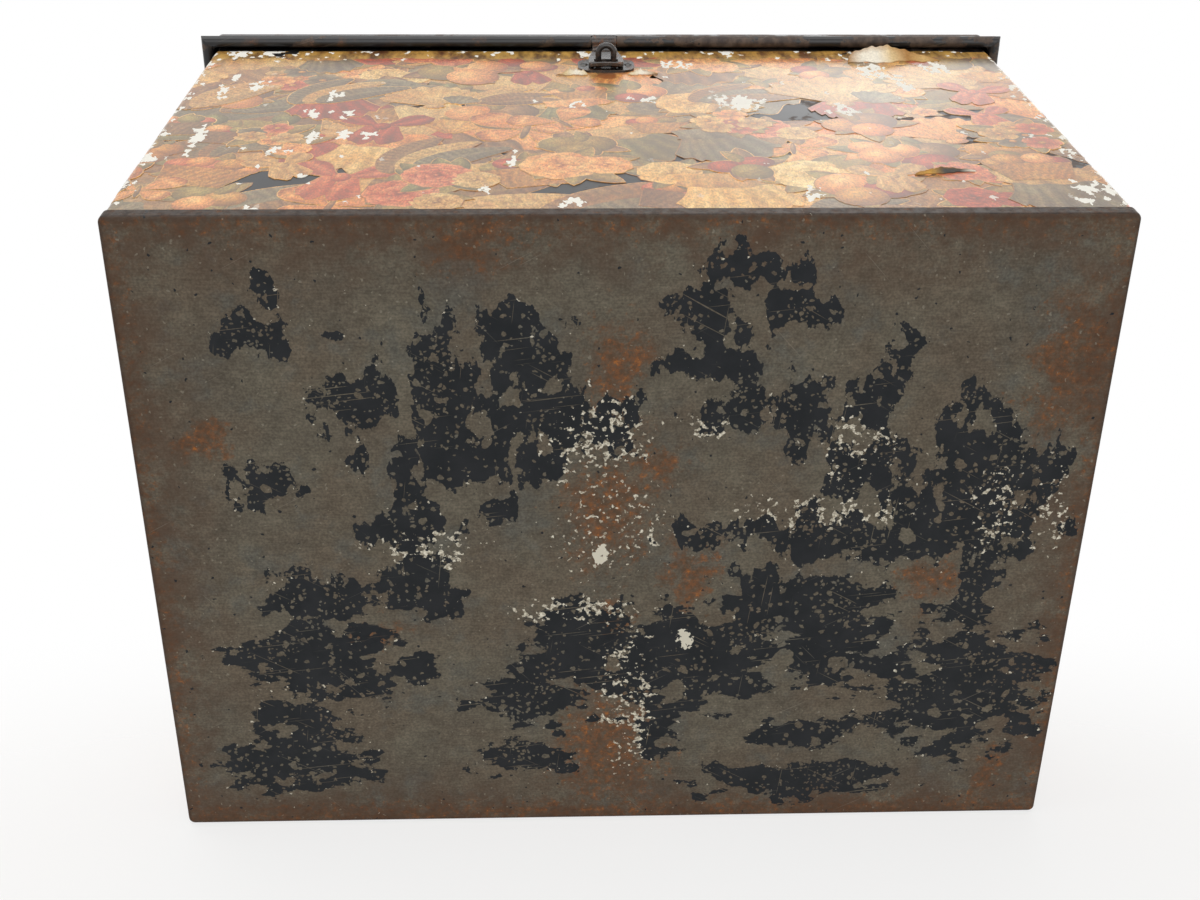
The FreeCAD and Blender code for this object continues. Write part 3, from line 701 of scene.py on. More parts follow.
def black_japan(name, brown, inside_tin):
    """Glossy black lacquer. brown says how worn it is; inside_tin leaves the inner faces bare."""
    material, tree, shader = new_material(name)
    place, at = place_in_mm(tree)
    colour = mottled(tree, place, 14.0, (20, 20, 22), (34, 33, 34))
    to_right = between(tree, at["X"], -150.0, 150.0, -0.07, 0.1)
    thin = flake_mask(tree, place, maths(tree, "ADD", to_right, brown), 16.0, 1.2, 0.66)
    colour = laid_over(tree, colour, mottled(tree, place, 3.0, (52, 40, 34), (96, 80, 68)), thin, 0.8)
    rusty = rust_on(tree, place, brown - 0.04, 11.0)
    colour = laid_over(tree, colour, rusty["Color"], rusty["Mask"], 0.6)
    worn = edge_mask(tree, place, 0.6, 0.7)
    colour = mix(tree, worn, colour, linear(104, 90, 78))
    colour = laid_over(tree, colour, linear(110, 102, 94), scratch_mask(tree, place, 0.3, 0.55), 0.45)
    dull = joined(tree, "MAXIMUM", thin, rusty["Mask"], worn)
    if inside_tin:
        inner, tin = plain_inside(tree, place, at)
        colour = mix(tree, inner, colour, tin)
        dull = maths(tree, "MAXIMUM", dull, inner)
    gloss = maths(tree, "MULTIPLY_ADD", dull, 0.3, 0.28)
    relief = maths(tree, "SUBTRACT", noise(tree, place, 0.25, 5.0), dull)
    wire_all(tree, {"Base Color": colour, "Roughness": gloss, "Normal": bump_of(tree, relief, 0.04, 0.4),
                    "Specular IOR Level": 0.4}, shader.inputs)
    return material


def black_iron(name, bare_edges, dullness):
    """Blackened iron: nearly black, bare and brighter along its edges, with rust in patches."""
    material, tree, shader = new_material(name)
    place = place_in_mm(tree)[0]
    colour = mottled(tree, place, 4.0, (26, 25, 25), (52, 48, 45))
    rusty = rust_on(tree, place, -0.03, 5.0)
    colour = laid_over(tree, colour, rusty["Color"], rusty["Mask"], 0.75)
    worn = edge_mask(tree, place, 0.5, bare_edges)
    colour = mix(tree, worn, colour, linear(128, 120, 110))
    gloss = maths(tree, "MULTIPLY_ADD", rusty["Mask"], 0.35, dullness)
    pitted = noise(tree, place, 1.1, 6.0, 0.7)
    wire_all(tree, {"Base Color": colour, "Metallic": maths(tree, "MULTIPLY", worn, 0.6), "Roughness": gloss,
                    "Normal": bump_of(tree, pitted, 0.06, 0.5)}, shader.inputs)
    return material


finish_nodes(black_japan("wall_japan", -0.1, True), "body_wrapper", "back_panel")
finish_nodes(black_japan("lid_japan", -0.06, False), "lid_rim", "lid_panel")
finish_nodes(black_iron("lacquered_iron", 0.5, 0.22), "hasp", "staple", "staple_plate", "staple_rivets")
finish_nodes(black_iron("black_iron", 0.8, 0.36), "hinge_strap_left", "hinge_strap_right", "hinge_rivets",
             "lid_edge_wire", "handle_bail", "handle_eye_left", "handle_eye_right", "handle_rivets",
             "handle_backing_left", "handle_backing_right")
print("materials:", [m.name for m in bpy.data.materials])

# %% [markdown]
# ## Paper scraps
# Die-cut scraps are small printed pictures with a cream cut edge. They could be painted in a shader, but
# real overlaps and crisp cut outlines come more simply from thin paper shapes: each scrap is a few
# patches, and a patch is a small grid of points with a printed tone at each. Only plain garden and
# wardrobe motifs are used: roses, leaves, fruit, shells, bows, cloth, plumes, butterflies and view cards.

# %% Inks
inks = {
    "peach": ((150, 86, 54), (222, 158, 110), (244, 206, 162)),
    "rose": ((126, 50, 46), (184, 92, 80), (226, 160, 140)),
    "crimson": ((76, 22, 24), (148, 50, 44), (194, 96, 80)),
    "olive": ((72, 64, 40), (130, 118, 76), (176, 162, 114)),
    "moss": ((58, 62, 48), (102, 106, 82), (152, 152, 120)),
    "ochre": ((110, 72, 38), (186, 138, 82), (224, 188, 130)),
    "slate": ((52, 54, 56), (98, 100, 100), (148, 148, 142)),
    "umber": ((68, 48, 38), (122, 94, 74), (176, 146, 118)),
    "beige": ((136, 106, 78), (192, 162, 124), (224, 204, 168)),
    "cream": ((164, 132, 90), (224, 200, 154), (242, 230, 202))}
inks = {name: np.array([linear(*stop) for stop in stops]) for name, stops in inks.items()}
cut_edges = [np.array(linear(*edge)) for edge in ((228, 192, 146), (198, 164, 120), (150, 118, 88))]


def tone(shade, ink):
    """Printed colour for shades from 0, dark, to 1, light."""
    return np.column_stack([np.interp(shade, (0, 0.5, 1), inks[ink][:, part]) for part in range(3)])


def patch(at, shade, ink, across, tier, closed=False, cut=True):
    """One printed shape: rows of points, its faces, its colours and its outline. Higher tiers lie on top."""
    rows = len(at) // across
    faces = []
    for row in range(rows - 1):
        for column in range(across if closed else across - 1):
            left = row * across + column
            right = row * across + (column + 1) % across
            faces.append((left, right, right + across, left + across))
    ring = list(range((rows - 1) * across, rows * across))
    if not closed:
        up = list(range(2 * across - 1, rows * across - 1, across))
        down = list(range((rows - 2) * across, 0, -across))
        ring = list(range(across)) + up + ring[::-1] + down
    return {"at": at, "ink": tone(shade, ink), "faces": faces, "outline": at[ring], "tier": tier, "cut": cut}


print("inks:", list(inks))

# %% [markdown]
# A blade is a bent spine with a width along it. Short and blunt it is a petal, long and pointed a leaf.
# A ball is rings of points shaded towards one lit spot. A fan is pleats round a centre, and a drape is
# pleats that hang down. Nearly everything printed on the box is made of these four.

# %% Four basic shapes
def grid(across, rows, left=0, foot=0):
    """Points of a grid, row by row: u across it from left to 1 and v up it from foot to 1."""
    u, v = np.meshgrid(np.linspace(left, 1, across), np.linspace(foot, 1, rows))
    return u.ravel(), v.ravel()


def blade(base, heading, length, width, bend, belly, blunt, across, rows):
    """Points of a leaf or petal, with u across it from -1 to 1 and v along it from 0 to 1."""
    v = np.linspace(0, 1, rows)
    angle = heading + bend * v
    steps = np.column_stack((np.cos(angle), np.sin(angle))) * length / (rows - 1)
    spine = np.array(base) + np.cumsum(steps, axis=0) - steps[0]
    half = width / 2 * np.sin(np.pi * np.clip(v * blunt, 0, 1) ** belly) ** 0.7
    side = np.column_stack((-np.sin(angle), np.cos(angle)))
    u = np.linspace(-1, 1, across)
    at = spine[:, None, :] + side[:, None, :] * half[:, None, None] * u[None, :, None]
    return at.reshape(-1, 2), np.tile(u, rows), np.repeat(v, across)


def leaf(base, heading, length, ink, tier, bend=0.4, width=0.42):
    """A leaf with a light and a dark half and veins."""
    at, u, v = blade(base, heading, length, length * width, bend, 0.8, 1.0, 5, 11)
    veins = np.cos(v * 10 * np.pi) * np.abs(u) * 0.12
    shade = 0.42 + 0.3 * u * np.sign(bend + 0.01) + veins + 0.15 * v
    return patch(at, np.where(np.abs(u) < 0.1, shade + 0.25, shade), ink, 5, tier)


def petal(base, heading, length, width, ink, tier, bend, light, cut):
    """A petal, dark at its base and light at its rim."""
    at, u, v = blade(base, heading, length, width, bend, 1.5, 0.9, 5, 7)
    return patch(at, light * (0.1 + 0.85 * v ** 1.3) - 0.16 * u ** 2 + 0.1 * u, ink, 5, tier, cut=cut)


def ball(centre, wide, tall, ink, tier, lit=(-0.3, 0.35), fall=0.72, cut=True):
    """A round thing, shaded away from its lit spot."""
    angle, ring = np.meshgrid(np.linspace(0, 2 * np.pi, 20, endpoint=False), np.linspace(0.02, 1, 7))
    unit = np.column_stack((ring.ravel() * np.cos(angle.ravel()), ring.ravel() * np.sin(angle.ravel())))
    shade = 1.02 - fall * np.hypot(unit[:, 0] - lit[0], unit[:, 1] - lit[1])
    return patch(np.array(centre) + unit * (wide, tall), shade, ink, 20, tier, closed=True, cut=cut)


def fan(centre, heading, spread, inner, outer, pleats, ink, tier, scallop=0.05):
    """Pleats spread round a centre, with a scalloped rim."""
    u, v = grid(4 * pleats + 1, 6)
    ridge = np.cos(2 * np.pi * pleats * (u + 0.03 * np.sin(7 * u)))
    angle = heading + spread * (u - 0.5)
    radius = inner + (outer * (1 - scallop * ridge - scallop * 3 * (2 * u - 1) ** 2) - inner) * v
    at = np.array(centre) + np.column_stack((radius * np.cos(angle), radius * np.sin(angle)))
    shade = 0.5 - 0.16 * ridge + 0.3 * v - 0.12 * np.cos(v * 7) + 0.12 * np.sin(5 * u)
    return patch(at, shade, ink, 4 * pleats + 1, tier)


def drape(top, width, drop, folds, ink, tier, sway, flare=0.35):
    """Cloth that hangs in folds from a short top edge."""
    u, v = grid(4 * folds + 1, 9)
    wave = 2 * np.pi * folds * (u + 0.09 * np.sin(5 * u + sway)) + sway * 5 * np.sin(2.5 * v)
    x = (u - 0.5) * width * (1 - flare + 2 * flare * v) + sway * width * 0.3 * np.sin(2 * v)
    y = -drop * v * (1 - 0.35 * (2 * u - 1) ** 2 * v + 0.05 * np.cos(wave))
    shade = 0.5 + 0.26 * np.cos(wave) * (0.4 + 0.6 * v) + 0.16 * np.sin(4 * u + 3 * v) + 0.1 * (1 - v)
    return patch(np.array(top) + np.column_stack((x, y)), shade, ink, 4 * folds + 1, tier)


# %% Rose
def rose(centre, size, ink, tier, chance):
    """Four whorls of petals round a small heart."""
    made = []
    for whorl, count in enumerate((8, 6, 6, 4)):
        reach = size * (1 - 0.22 * whorl)
        for number in range(count):
            heading = 2 * np.pi * (number + 0.37 * whorl) / count + chance.normal(0, 0.08)
            base = np.array(centre) + 0.12 * reach * np.array((np.cos(heading), np.sin(heading)))
            made.append(petal(base, heading, reach * 0.92, reach * 1.05, ink, tier + 2 * whorl + number % 2,
                              chance.normal(0, 0.3), chance.uniform(0.8, 1.1), whorl == 0))
    made.append(ball(centre, size * 0.14, size * 0.12, ink, tier + 8, fall=1.1, cut=False))
    return made


chance = np.random.default_rng(12)
print("faces in one rose:", sum(len(p["faces"]) for p in rose((0, 0), 10, "rose", 0, chance)))

# %% [markdown]
# ## Ten kinds of scrap
# Each kind is drawn about its own middle in millimetres, upright, for a given size across. Inks are
# picked from the warm, faded set that old colour printing has.

# %% Flowers and fruit
def any_of(chance, *names):
    """One of the names, picked by chance."""
    return names[chance.integers(len(names))]


def ring_of_leaves(size, count, chance, tier=0):
    """Leaves that stick out all round a bunch."""
    ink = any_of(chance, "olive", "moss", "olive", "umber")
    headings = [2 * np.pi * (k + chance.uniform(-0.3, 0.3)) / count for k in range(count)]
    return [leaf((0, 0), heading, size * chance.uniform(0.42, 0.6), ink, tier + k % 2,
                 chance.normal(0, 0.5)) for k, heading in enumerate(headings)]


def rose_spray(size, chance):
    made = ring_of_leaves(size, 8, chance)
    ink = any_of(chance, "rose", "peach", "slate", "crimson", "cream", "rose")
    made += rose((-0.1 * size, 0.05 * size), size * 0.3, ink, 2, chance)
    made += rose((0.2 * size, -0.16 * size), size * 0.2, any_of(chance, "peach", "beige", ink), 3, chance)
    return made


def posy(size, chance):
    made = ring_of_leaves(size, 6, chance)
    for k in range(6):
        angle = k * 1.05 + chance.uniform(0, 0.5)
        centre = size * (0.22 if k else 0) * np.array((np.cos(angle), np.sin(angle)))
        ink = any_of(chance, "cream", "rose", "peach", "beige", "slate")
        made += [petal(centre, 1.257 * n + angle, size * 0.17, size * 0.15, ink, 3 + k % 2 * 3 + n % 2, 0.1,
                       1.0, True) for n in range(5)]
        made.append(ball(centre, size * 0.035, size * 0.035, "ochre", 8, cut=False))
    return made


def fruit_bough(size, chance):
    made = ring_of_leaves(size, 5, chance)
    for k, (x, y) in enumerate(((-0.17, 0.02), (0.17, 0.06), (0.02, -0.2))):
        girth = size * chance.uniform(0.19, 0.25)
        made.append(ball((x * size, y * size), girth, girth * chance.uniform(0.9, 1.15),
                         any_of(chance, "peach", "ochre", "crimson", "olive", "umber"), 2 + k))
    made.append(leaf((0, 0.1 * size), 1.2, size * 0.4, "olive", 6, 0.9))
    return made


# %% Shells, bows and cloth
def shell_pair(size, chance):
    ink = any_of(chance, "peach", "beige", "umber", "beige")
    made = [fan((0, -0.42 * size), np.pi / 2, 2.0, size * 0.06, size * 0.88, 9, ink, 1)]
    made.append(ball((0, -0.42 * size), size * 0.13, size * 0.08, ink, 2))
    small_ink = any_of(chance, "ochre", "slate")
    made.append(fan((0.25 * size, -0.42 * size), 1.0, 1.7, 2, size * 0.42, 6, small_ink, 3))
    return made


def ribbon_bow(size, chance):
    ink = any_of(chance, "crimson", "rose", "slate", "beige", "umber")
    made = []
    for side in (-1, 1):
        heading = np.pi / 2 - side * 1.15
        made.append(drape((side * 0.08 * size, 0), size * 0.22, size * 0.52, 2, ink, 0, side * 0.5))
        at, u, v = blade((0, 0), heading, size * 0.5, size * 0.3, side * 0.5, 1.6, 0.92, 9, 9)
        made.append(patch(at, 0.5 + 0.35 * np.cos(u * 5 + 1) * (0.4 + 0.6 * v), ink, 9, 2))
    made.append(ball((0, 0), size * 0.08, size * 0.1, ink, 3))
    return made


def cloth_swag(size, chance):
    ink = any_of(chance, "crimson", "slate", "slate", "peach", "umber", "rose", "olive", "moss", "cream")
    made = [drape((0, 0.5 * size), size * 0.72, size * 0.95, 7, ink, 0, chance.uniform(-0.5, 0.5))]
    top_ink = any_of(chance, "beige", "peach", ink)
    made.append(drape((0, 0.52 * size), size * 0.8, size * 0.34, 5, top_ink, 1, 0.3, 0.12))
    return made


# %% Plumes, butterflies, views and baskets
def plumes(size, chance):
    made = []
    for k in range(3):
        ink = any_of(chance, "slate", "umber", "beige", "umber", "slate")
        at, u, v = blade((-0.3 * size + 0.1 * k * size, -0.4 * size), 1.25 - 0.28 * k, size, size * 0.34,
                         -0.7, 0.75, 0.97, 9, 31)
        barbs = 0.22 * np.cos(v * 30 * np.pi) * np.abs(u) ** 0.5
        made.append(patch(at, 0.45 + barbs + 0.2 * u + 0.3 * (np.abs(u) < 0.1), ink, 9, k))
    return made


def butterfly(size, chance):
    """Two pairs of veined wings with a pale band, on a slim body."""
    ink = any_of(chance, "umber", "peach", "slate", "ochre", "beige")
    made = []
    for side in (-1, 1):
        for number, (heading, length, width) in enumerate(((-0.75, 0.42, 0.3), (0.55, 0.56, 0.36))):
            way = heading if side > 0 else np.pi - heading
            at, u, v = blade((0, 0), way, size * length, size * width, side * 0.25, 1.7, 0.93, 9, 11)
            veins = 0.14 * np.cos(u * 12) * v
            band = 0.4 * np.exp(-((v - 0.72) / 0.08) ** 2)
            made.append(patch(at, 0.45 + veins + band - 0.4 * v ** 5 - 0.25 * np.abs(u) ** 3, ink, 9, number))
    made.append(ball((0, -0.04 * size), size * 0.03, size * 0.2, "umber", 6))
    return made


def view_card(size, chance):
    wide = size * 0.5
    tall = size * chance.uniform(0.36, 0.5)
    u, v = grid(9, 9, -1, -1)
    sky = any_of(chance, "slate", "beige", "umber", "peach")
    made = [patch(np.column_stack((u * wide, v * tall)), 0.55 + 0.35 * v + 0.1 * np.sin(u * 3), sky, 9, 0)]
    for k in range(3):
        ridge = -0.15 - 0.25 * k + 0.16 * np.sin(u * (2.2 + k) + k * 2 + size)
        hill = np.column_stack((u * wide, tall * (-1 + (v + 1) / 2 * (ridge + 1))))
        hill_ink = any_of(chance, "olive", "umber", "moss")
        made.append(patch(hill, 0.3 + 0.2 * k + 0.25 * v, hill_ink, 9, 1 + k, cut=False))
    for x in (-0.3, -0.16, 0.28):
        tree_ink = any_of(chance, "olive", "moss")
        made.append(ball((size * x, -0.12 * size), size * 0.09, size * 0.13, tree_ink, 4, fall=0.8,
                         cut=False))
    return made


def fruit_basket(size, chance):
    made = ring_of_leaves(size * 0.9, 5, chance)
    for k in range(5):
        girth = size * chance.uniform(0.12, 0.16)
        made.append(ball((size * (-0.28 + 0.14 * k), size * (0.06 + 0.08 * (k % 2))), girth, girth,
                         any_of(chance, "peach", "crimson", "ochre", "rose", "olive"), 2 + k % 2 * 2))
    u, v = grid(17, 9, -1)
    weave = 0.5 + 0.2 * np.cos(u * 8 * np.pi) * np.cos(v * 4 * np.pi) - 0.25 * np.abs(u)
    side = np.column_stack((u * size * 0.4 * (0.7 + 0.3 * v), size * (-0.42 + 0.44 * v)))
    made.append(patch(side, weave, any_of(chance, "ochre", "umber"), 17, 6))
    return made


kinds = (rose_spray, rose_spray, rose_spray, posy, posy, fruit_bough, fruit_bough, ribbon_bow, ribbon_bow,
         cloth_swag, cloth_swag, plumes, butterfly, fruit_basket, shell_pair)
backing_kinds = (cloth_swag, view_card, shell_pair, plumes)
print("kinds of scrap:", len(set(kinds + backing_kinds)))

# %% [markdown]
# ## Pasting
# The scraps are laid out on the unrolled wall, where one axis runs round the box and the other is height.
# Every scrap lies on those pasted before it, a paper's thickness higher. The flat layout is then cut to
# the wall's size, sliced where the sheet bends, and wrapped round the corners.

# %% Lay scraps out on a flat sheet
paper_step = 0.027
print_lift = 0.009
tier_step = 0.0012
paper_slip = 0.0002
print_slip = 0.00012
cut_margin = 0.4
scrap_pitch = 27
wall_seed = 5
lid_seed = 9


def pushed_out(outline, margin):
    """An outline grown by the cream margin that the cutter left round the print."""
    kept = [p for k, p in enumerate(outline) if np.hypot(*(p - outline[k - 1])) > 1e-4]
    ring = np.array(kept)
    along = np.roll(ring, -1, axis=0) - np.roll(ring, 1, axis=0)
    area = np.sum(ring[:, 0] * np.roll(ring[:, 1], -1) - np.roll(ring[:, 0], -1) * ring[:, 1])
    out = np.column_stack((along[:, 1], -along[:, 0])) * np.sign(area)
    return ring + margin * out / np.maximum(np.hypot(out[:, 0], out[:, 1]), 1e-9)[:, None]


def lay_out(width, height, pitch, seed):
    """Chooses where scraps go on a sheet: a row of (kind, middle, size, turn), big backing ones first.
    Every other one is pasted first and its neighbours later, so that the paper piles up little."""
    chance = np.random.default_rng(seed)
    spots = []
    coats = ((1.9, backing_kinds, 2.0, 2.7, 0.0), (2.1, backing_kinds, 1.5, 2.1, 0.3),
             (0.88, kinds, 0.95, 1.6, 0.1))
    for step, picks, low, high, skip in coats:
        columns = int(round(width / pitch / step))
        rows = int(round(height / pitch / step))
        layer = []
        for column in range(columns):
            for row in range(rows):
                shares = np.array(((column + 0.5) / columns - 0.5, (row + 0.5) / rows - 0.5))
                middle = shares * (width, height) + chance.uniform(-0.35, 0.35, 2) * pitch * step
                if chance.random() > skip:
                    layer.append((2 * (column % 2) + row % 2, any_of(chance, *picks), middle,
                                  pitch * chance.uniform(low, high), chance.normal(0, 0.3)))
        layer.sort(key=lambda spot: spot[0])
        spots += [spot[1:] for spot in layer]
    return spots, chance


# %% Paste them on each other
def paste(spots, chance):
    """Builds all scraps of a sheet as points of (run, height, distance off the wall), faces and inks."""
    points = []
    faces = []
    colours = []
    piled = []
    for kind, middle, size, turn in spots:
        beneath = [p[2] for p in piled if np.hypot(*(middle - p[0])) < 0.42 * (size + p[1])]
        level = 1 + max(beneath, default=0)
        piled.append((middle, size, level))
        base = level * paper_step
        spin = np.array(((np.cos(turn), np.sin(turn)), (-np.sin(turn), np.cos(turn))))
        made = kind(size, chance)
        cut_edge = cut_edges[chance.integers(len(cut_edges))]
        for number, shape in enumerate(made):
            start = len(points)
            high = base + print_lift + shape["tier"] * tier_step + number * print_slip
            points += [(*p, high) for p in shape["at"] @ spin + middle]
            colours += list(shape["ink"])
            faces += [tuple(start + k for k in face) for face in shape["faces"]]
            if shape["cut"]:
                ring = pushed_out(shape["outline"], cut_margin) @ spin + middle
                start = len(points)
                count = len(ring)
                points += [(*p, base + number * paper_slip) for p in ring] + [(*p, 0.01) for p in ring]
                colours += [cut_edge] * (2 * count)
                faces.append(tuple(range(start, start + count)))
                faces += [(start + k, start + (k + 1) % count, start + count + (k + 1) % count,
                           start + count + k) for k in range(count)]
    return points, faces, colours, max(p[2] for p in piled)


# %% [markdown]
# Most of the paper lies under other paper. Rays that fall straight down on the flat layout find the faces
# that show, and the rest is left out. What is left hardly overlaps, so the flat layout is also the piece's
# picture map, which keeps the print sharp when the finish is baked.

# %% Keep what shows
def what_shows(layout):
    """Leaves out faces that lie wholly under other paper. A cut edge stays where it is open on one side."""
    points, faces, colours, levels = layout
    place = np.array(points)
    tree = BVHTree.FromPolygons(points, faces)
    above = place[:, 2].max() + 1
    pull_in = 0.15
    beside = 0.02
    shown = set()
    for count in sorted({len(face) for face in faces}):
        numbers = np.array([number for number, face in enumerate(faces) if len(face) == count])
        corners = place[[faces[number] for number in numbers]]
        upright = np.ptp(corners[:, :, 2], axis=1) > 0
        lying = corners[~upright]
        middle = lying.mean(axis=1, keepdims=True)
        inward = middle - lying
        share = np.minimum(0.1, pull_in / np.maximum(np.linalg.norm(inward, axis=2, keepdims=True), 1e-9))
        spots = np.concatenate((lying + inward * share, middle), axis=1).reshape(-1, 3)
        shown.update(tree.ray_cast((x, y, above), (0, 0, -1))[2] for x, y, z in spots.tolist())
        first, second = corners[upright][:, 0], corners[upright][:, 1]
        edge = second - first
        step = beside * edge / np.maximum(np.linalg.norm(edge, axis=1, keepdims=True), 1e-9)
        for side in (-1, 1):
            spots = (first + second) / 2 + side * np.column_stack((-step[:, 1], step[:, 0], step[:, 2]))
            for number, (x, y, top) in zip(numbers[upright].tolist(), spots.tolist()):
                hit = tree.ray_cast((x, y, above), (0, 0, -1))[0]
                if hit is None or hit.z < top - 1e-4:
                    shown.add(number)
    shown.discard(None)
    print("faces that show:", len(shown), "of", len(faces))
    return points, [faces[number] for number in sorted(shown)], colours, levels


# %% Trim, print and place a sheet
def print_inks(mesh, colours):
    """Stores a printed colour at each point of a mesh."""
    ink = mesh.attributes.new("ink", "FLOAT_COLOR", "POINT")
    opaque = np.column_stack((colours, np.ones(len(colours))))
    ink.data.foreach_set("color", opaque.astype(np.float32).ravel())


def flat_sheet(name, layout, low, high, bends):
    """A mesh of the flat layout, trimmed to a rectangle and sliced at the bends, with its inks and its
    picture map. The faces are sorted from the lowest to the highest paper."""
    points, faces, colours, levels = layout
    mesh = bpy.data.meshes.new(name)
    mesh.from_pydata(points, [], faces)
    print_inks(mesh, colours)
    cut = bmesh.new()
    cut.from_mesh(mesh)
    trims = [((low[0], 0, 0), (-1, 0, 0), True), ((high[0], 0, 0), (1, 0, 0), True),
             ((0, low[1], 0), (0, -1, 0), True), ((0, high[1], 0), (0, 1, 0), True)]
    slices = [((bend, 0, 0), (1, 0, 0), False) for bend in bends]
    for spot, way, outside_goes in trims + slices:
        whole = cut.verts[:] + cut.edges[:] + cut.faces[:]
        bmesh.ops.bisect_plane(cut, geom=whole, plane_co=spot, plane_no=way, clear_outer=outside_goes)
    bmesh.ops.delete(cut, geom=[point for point in cut.verts if not point.link_faces], context="VERTS")
    cut.faces.sort(key=lambda face: max(point.co.z for point in face.verts))
    cut.to_mesh(mesh)
    cut.free()
    flat = np.array([point.co[:2] for point in mesh.vertices])
    corner = np.zeros(len(mesh.loops), np.int32)
    mesh.loops.foreach_get("vertex_index", corner)
    spread = (flat[corner] - np.array(low)) / (np.array(high) - np.array(low))
    mesh.uv_layers.new(name="OFBake").data.foreach_set("uv", spread.astype(np.float32).ravel())
    mesh.calc_loop_triangles()
    print(name, "triangles:", len(mesh.loop_triangles), "levels of paper:", levels)
    return mesh


def place_mesh(mesh, where):
    """Moves every point of a flat mesh to its place on the box."""
    flat = np.zeros(len(mesh.vertices) * 3, np.float32)
    mesh.vertices.foreach_get("co", flat)
    placed = where(flat.reshape(-1, 3).astype(float))
    mesh.vertices.foreach_set("co", (placed * mm).astype(np.float32).ravel())
    mesh.update()


# %% Wrap the walls
flat_half = (half_width - corner_bend) / mm
bend_radius = corner_bend / mm
bend_run = bend_radius * math.pi / 2
run_end = flat_half + bend_run + (wrap_high.y + half_depth) / mm - bend_radius
paper_foot = pan_high.z / mm + 0.1
paper_top = rim_low.z / mm - 0.25
wall_height = paper_top - paper_foot


def on_walls(flat):
    """Wraps rows of (run, height, distance off the wall) round the front, the corners and the sides."""
    run, height, off = flat.T
    past = np.abs(run) - flat_half
    turn = np.clip(past / bend_run, 0, 1) * math.pi / 2
    along = np.clip(past - bend_run, 0, None)
    x = np.sign(run) * (np.clip(np.abs(run), 0, flat_half) + (bend_radius + off) * np.sin(turn))
    y = along - (half_depth / mm - bend_radius) - (bend_radius + off) * np.cos(turn)
    return np.column_stack((x, y, height + (paper_foot + paper_top) / 2))


bends = [side * (flat_half + bend_run * k / 4) for side in (-1, 1) for k in range(5)]
wall_layout = what_shows(paste(*lay_out(2 * run_end, wall_height, scrap_pitch, wall_seed)))
front_end = flat_half + bend_run
wall_scraps = []
for name, start, stop in (("left_scraps", -run_end, -front_end), ("front_scraps", -front_end, front_end),
                          ("right_scraps", front_end, run_end)):
    here = [bend for bend in bends if start < bend < stop]
    wall_mesh = flat_sheet(name, wall_layout, (start, -wall_height / 2), (stop, wall_height / 2), here)
    place_mesh(wall_mesh, on_walls)
    wall_scraps.append(put_in_scene(name, wall_mesh))

# %% Cover the lid
lid_half = np.array((sheet_high.x, sheet_high.y)) / mm


def on_lid(flat):
    """Lays the flat layout on the raised middle of the lid."""
    return np.column_stack((flat[:, 0], flat[:, 1], flat[:, 2] + sheet_low.z / mm))


lid_layout = what_shows(paste(*lay_out(*(2 * lid_half), scrap_pitch, lid_seed)))
lid_mesh = flat_sheet("lid_scraps", lid_layout, -lid_half, lid_half, [])
place_mesh(lid_mesh, on_lid)
lid_scraps = put_in_scene("lid_scraps", lid_mesh)

# %% [markdown]
# ## Varnished print
# The print has a fine stipple, is browned by age and lies under yellow varnish, which is a coat on the
# shader. Where the paper has chipped, white shows and the gloss is gone. Chips gather at the box's
# corners, at its left side and along the lid, where an amber line of old varnish has also run together.

# %% Varnished print
def printed(tree, place):
    """The inks of the points with fine shading, folds and stipple, browned by age."""
    colour = add(tree, "Attribute", {}, attribute_name="ink").outputs["Color"]
    swirl = noise_node(tree, place, 0.11, 3.0, 0.5)["Color"]
    drawn = moved(tree, place, scaled(tree, swirl, (14.0, 14.0, 14.0)))
    colour = mix(tree, 0.3, colour, noise_node(tree, drawn, 0.3, 5.0, 0.6)["Color"], "SOFT_LIGHT")
    upright = scaled(tree, drawn, (1.0, 1.0, 0.5))
    shading = between(tree, noise(tree, upright, 0.55, 5.0, 0.6), 0.32, 0.68, 0.8, 1.3)
    waves = {"Vector": upright, "Scale": 0.12, "Distortion": 7.0, "Detail": 3.0, "Detail Scale": 1.2}
    folds = add(tree, "TexWave", waves).outputs["Fac"]
    folded = between(tree, noise(tree, place, 0.06, 2.0), 0.42, 0.58, 0.0, 0.16)
    lined = maths(tree, "SUBTRACT", 1.06, maths(tree, "MULTIPLY", folds, folded))
    dots = noise(tree, scaled(tree, place, (1.0, 1.0, 0.4)), 1.5, 2.0)
    stipple = between(tree, dots, 0.28, 0.72, 0.68, 1.26)
    colour = shaded(tree, colour, joined(tree, "MULTIPLY", shading, stipple, lined))
    colour = mix(tree, 0.14, colour, linear(196, 158, 118))
    return mix(tree, 1.0, colour, mottled(tree, place, 38.0, (255, 239, 192), (248, 207, 140)), "MULTIPLY")


def under_lid(tree, place, height, colour):
    """Adds the amber line of old varnish under the lid and the rust that has run from the staple."""
    run = flake_mask(tree, place, between(tree, height, 167.0, 181.0, -0.45, 0.34), 9.0, 1.3, 0.66)
    upright_bits = scaled(tree, place, (1.0, 1.0, 0.3))
    old_layers = mottled(tree, upright_bits, 4.5, (74, 42, 22), (214, 168, 84))
    colour = laid_over(tree, colour, old_layers, run, 0.9)
    drip = scaled(tree, vector_maths(tree, "SUBTRACT", place, (0.0, 0.0, 151.0)), (1 / 6, 0.0, 1 / 7))
    stain = rust_on(tree, place, between(tree, length_of(tree, drip), 0.2, 1.3, 0.2, -0.3), 8.0)["Mask"]
    return laid_over(tree, colour, linear(140, 76, 34), stain, 0.85)


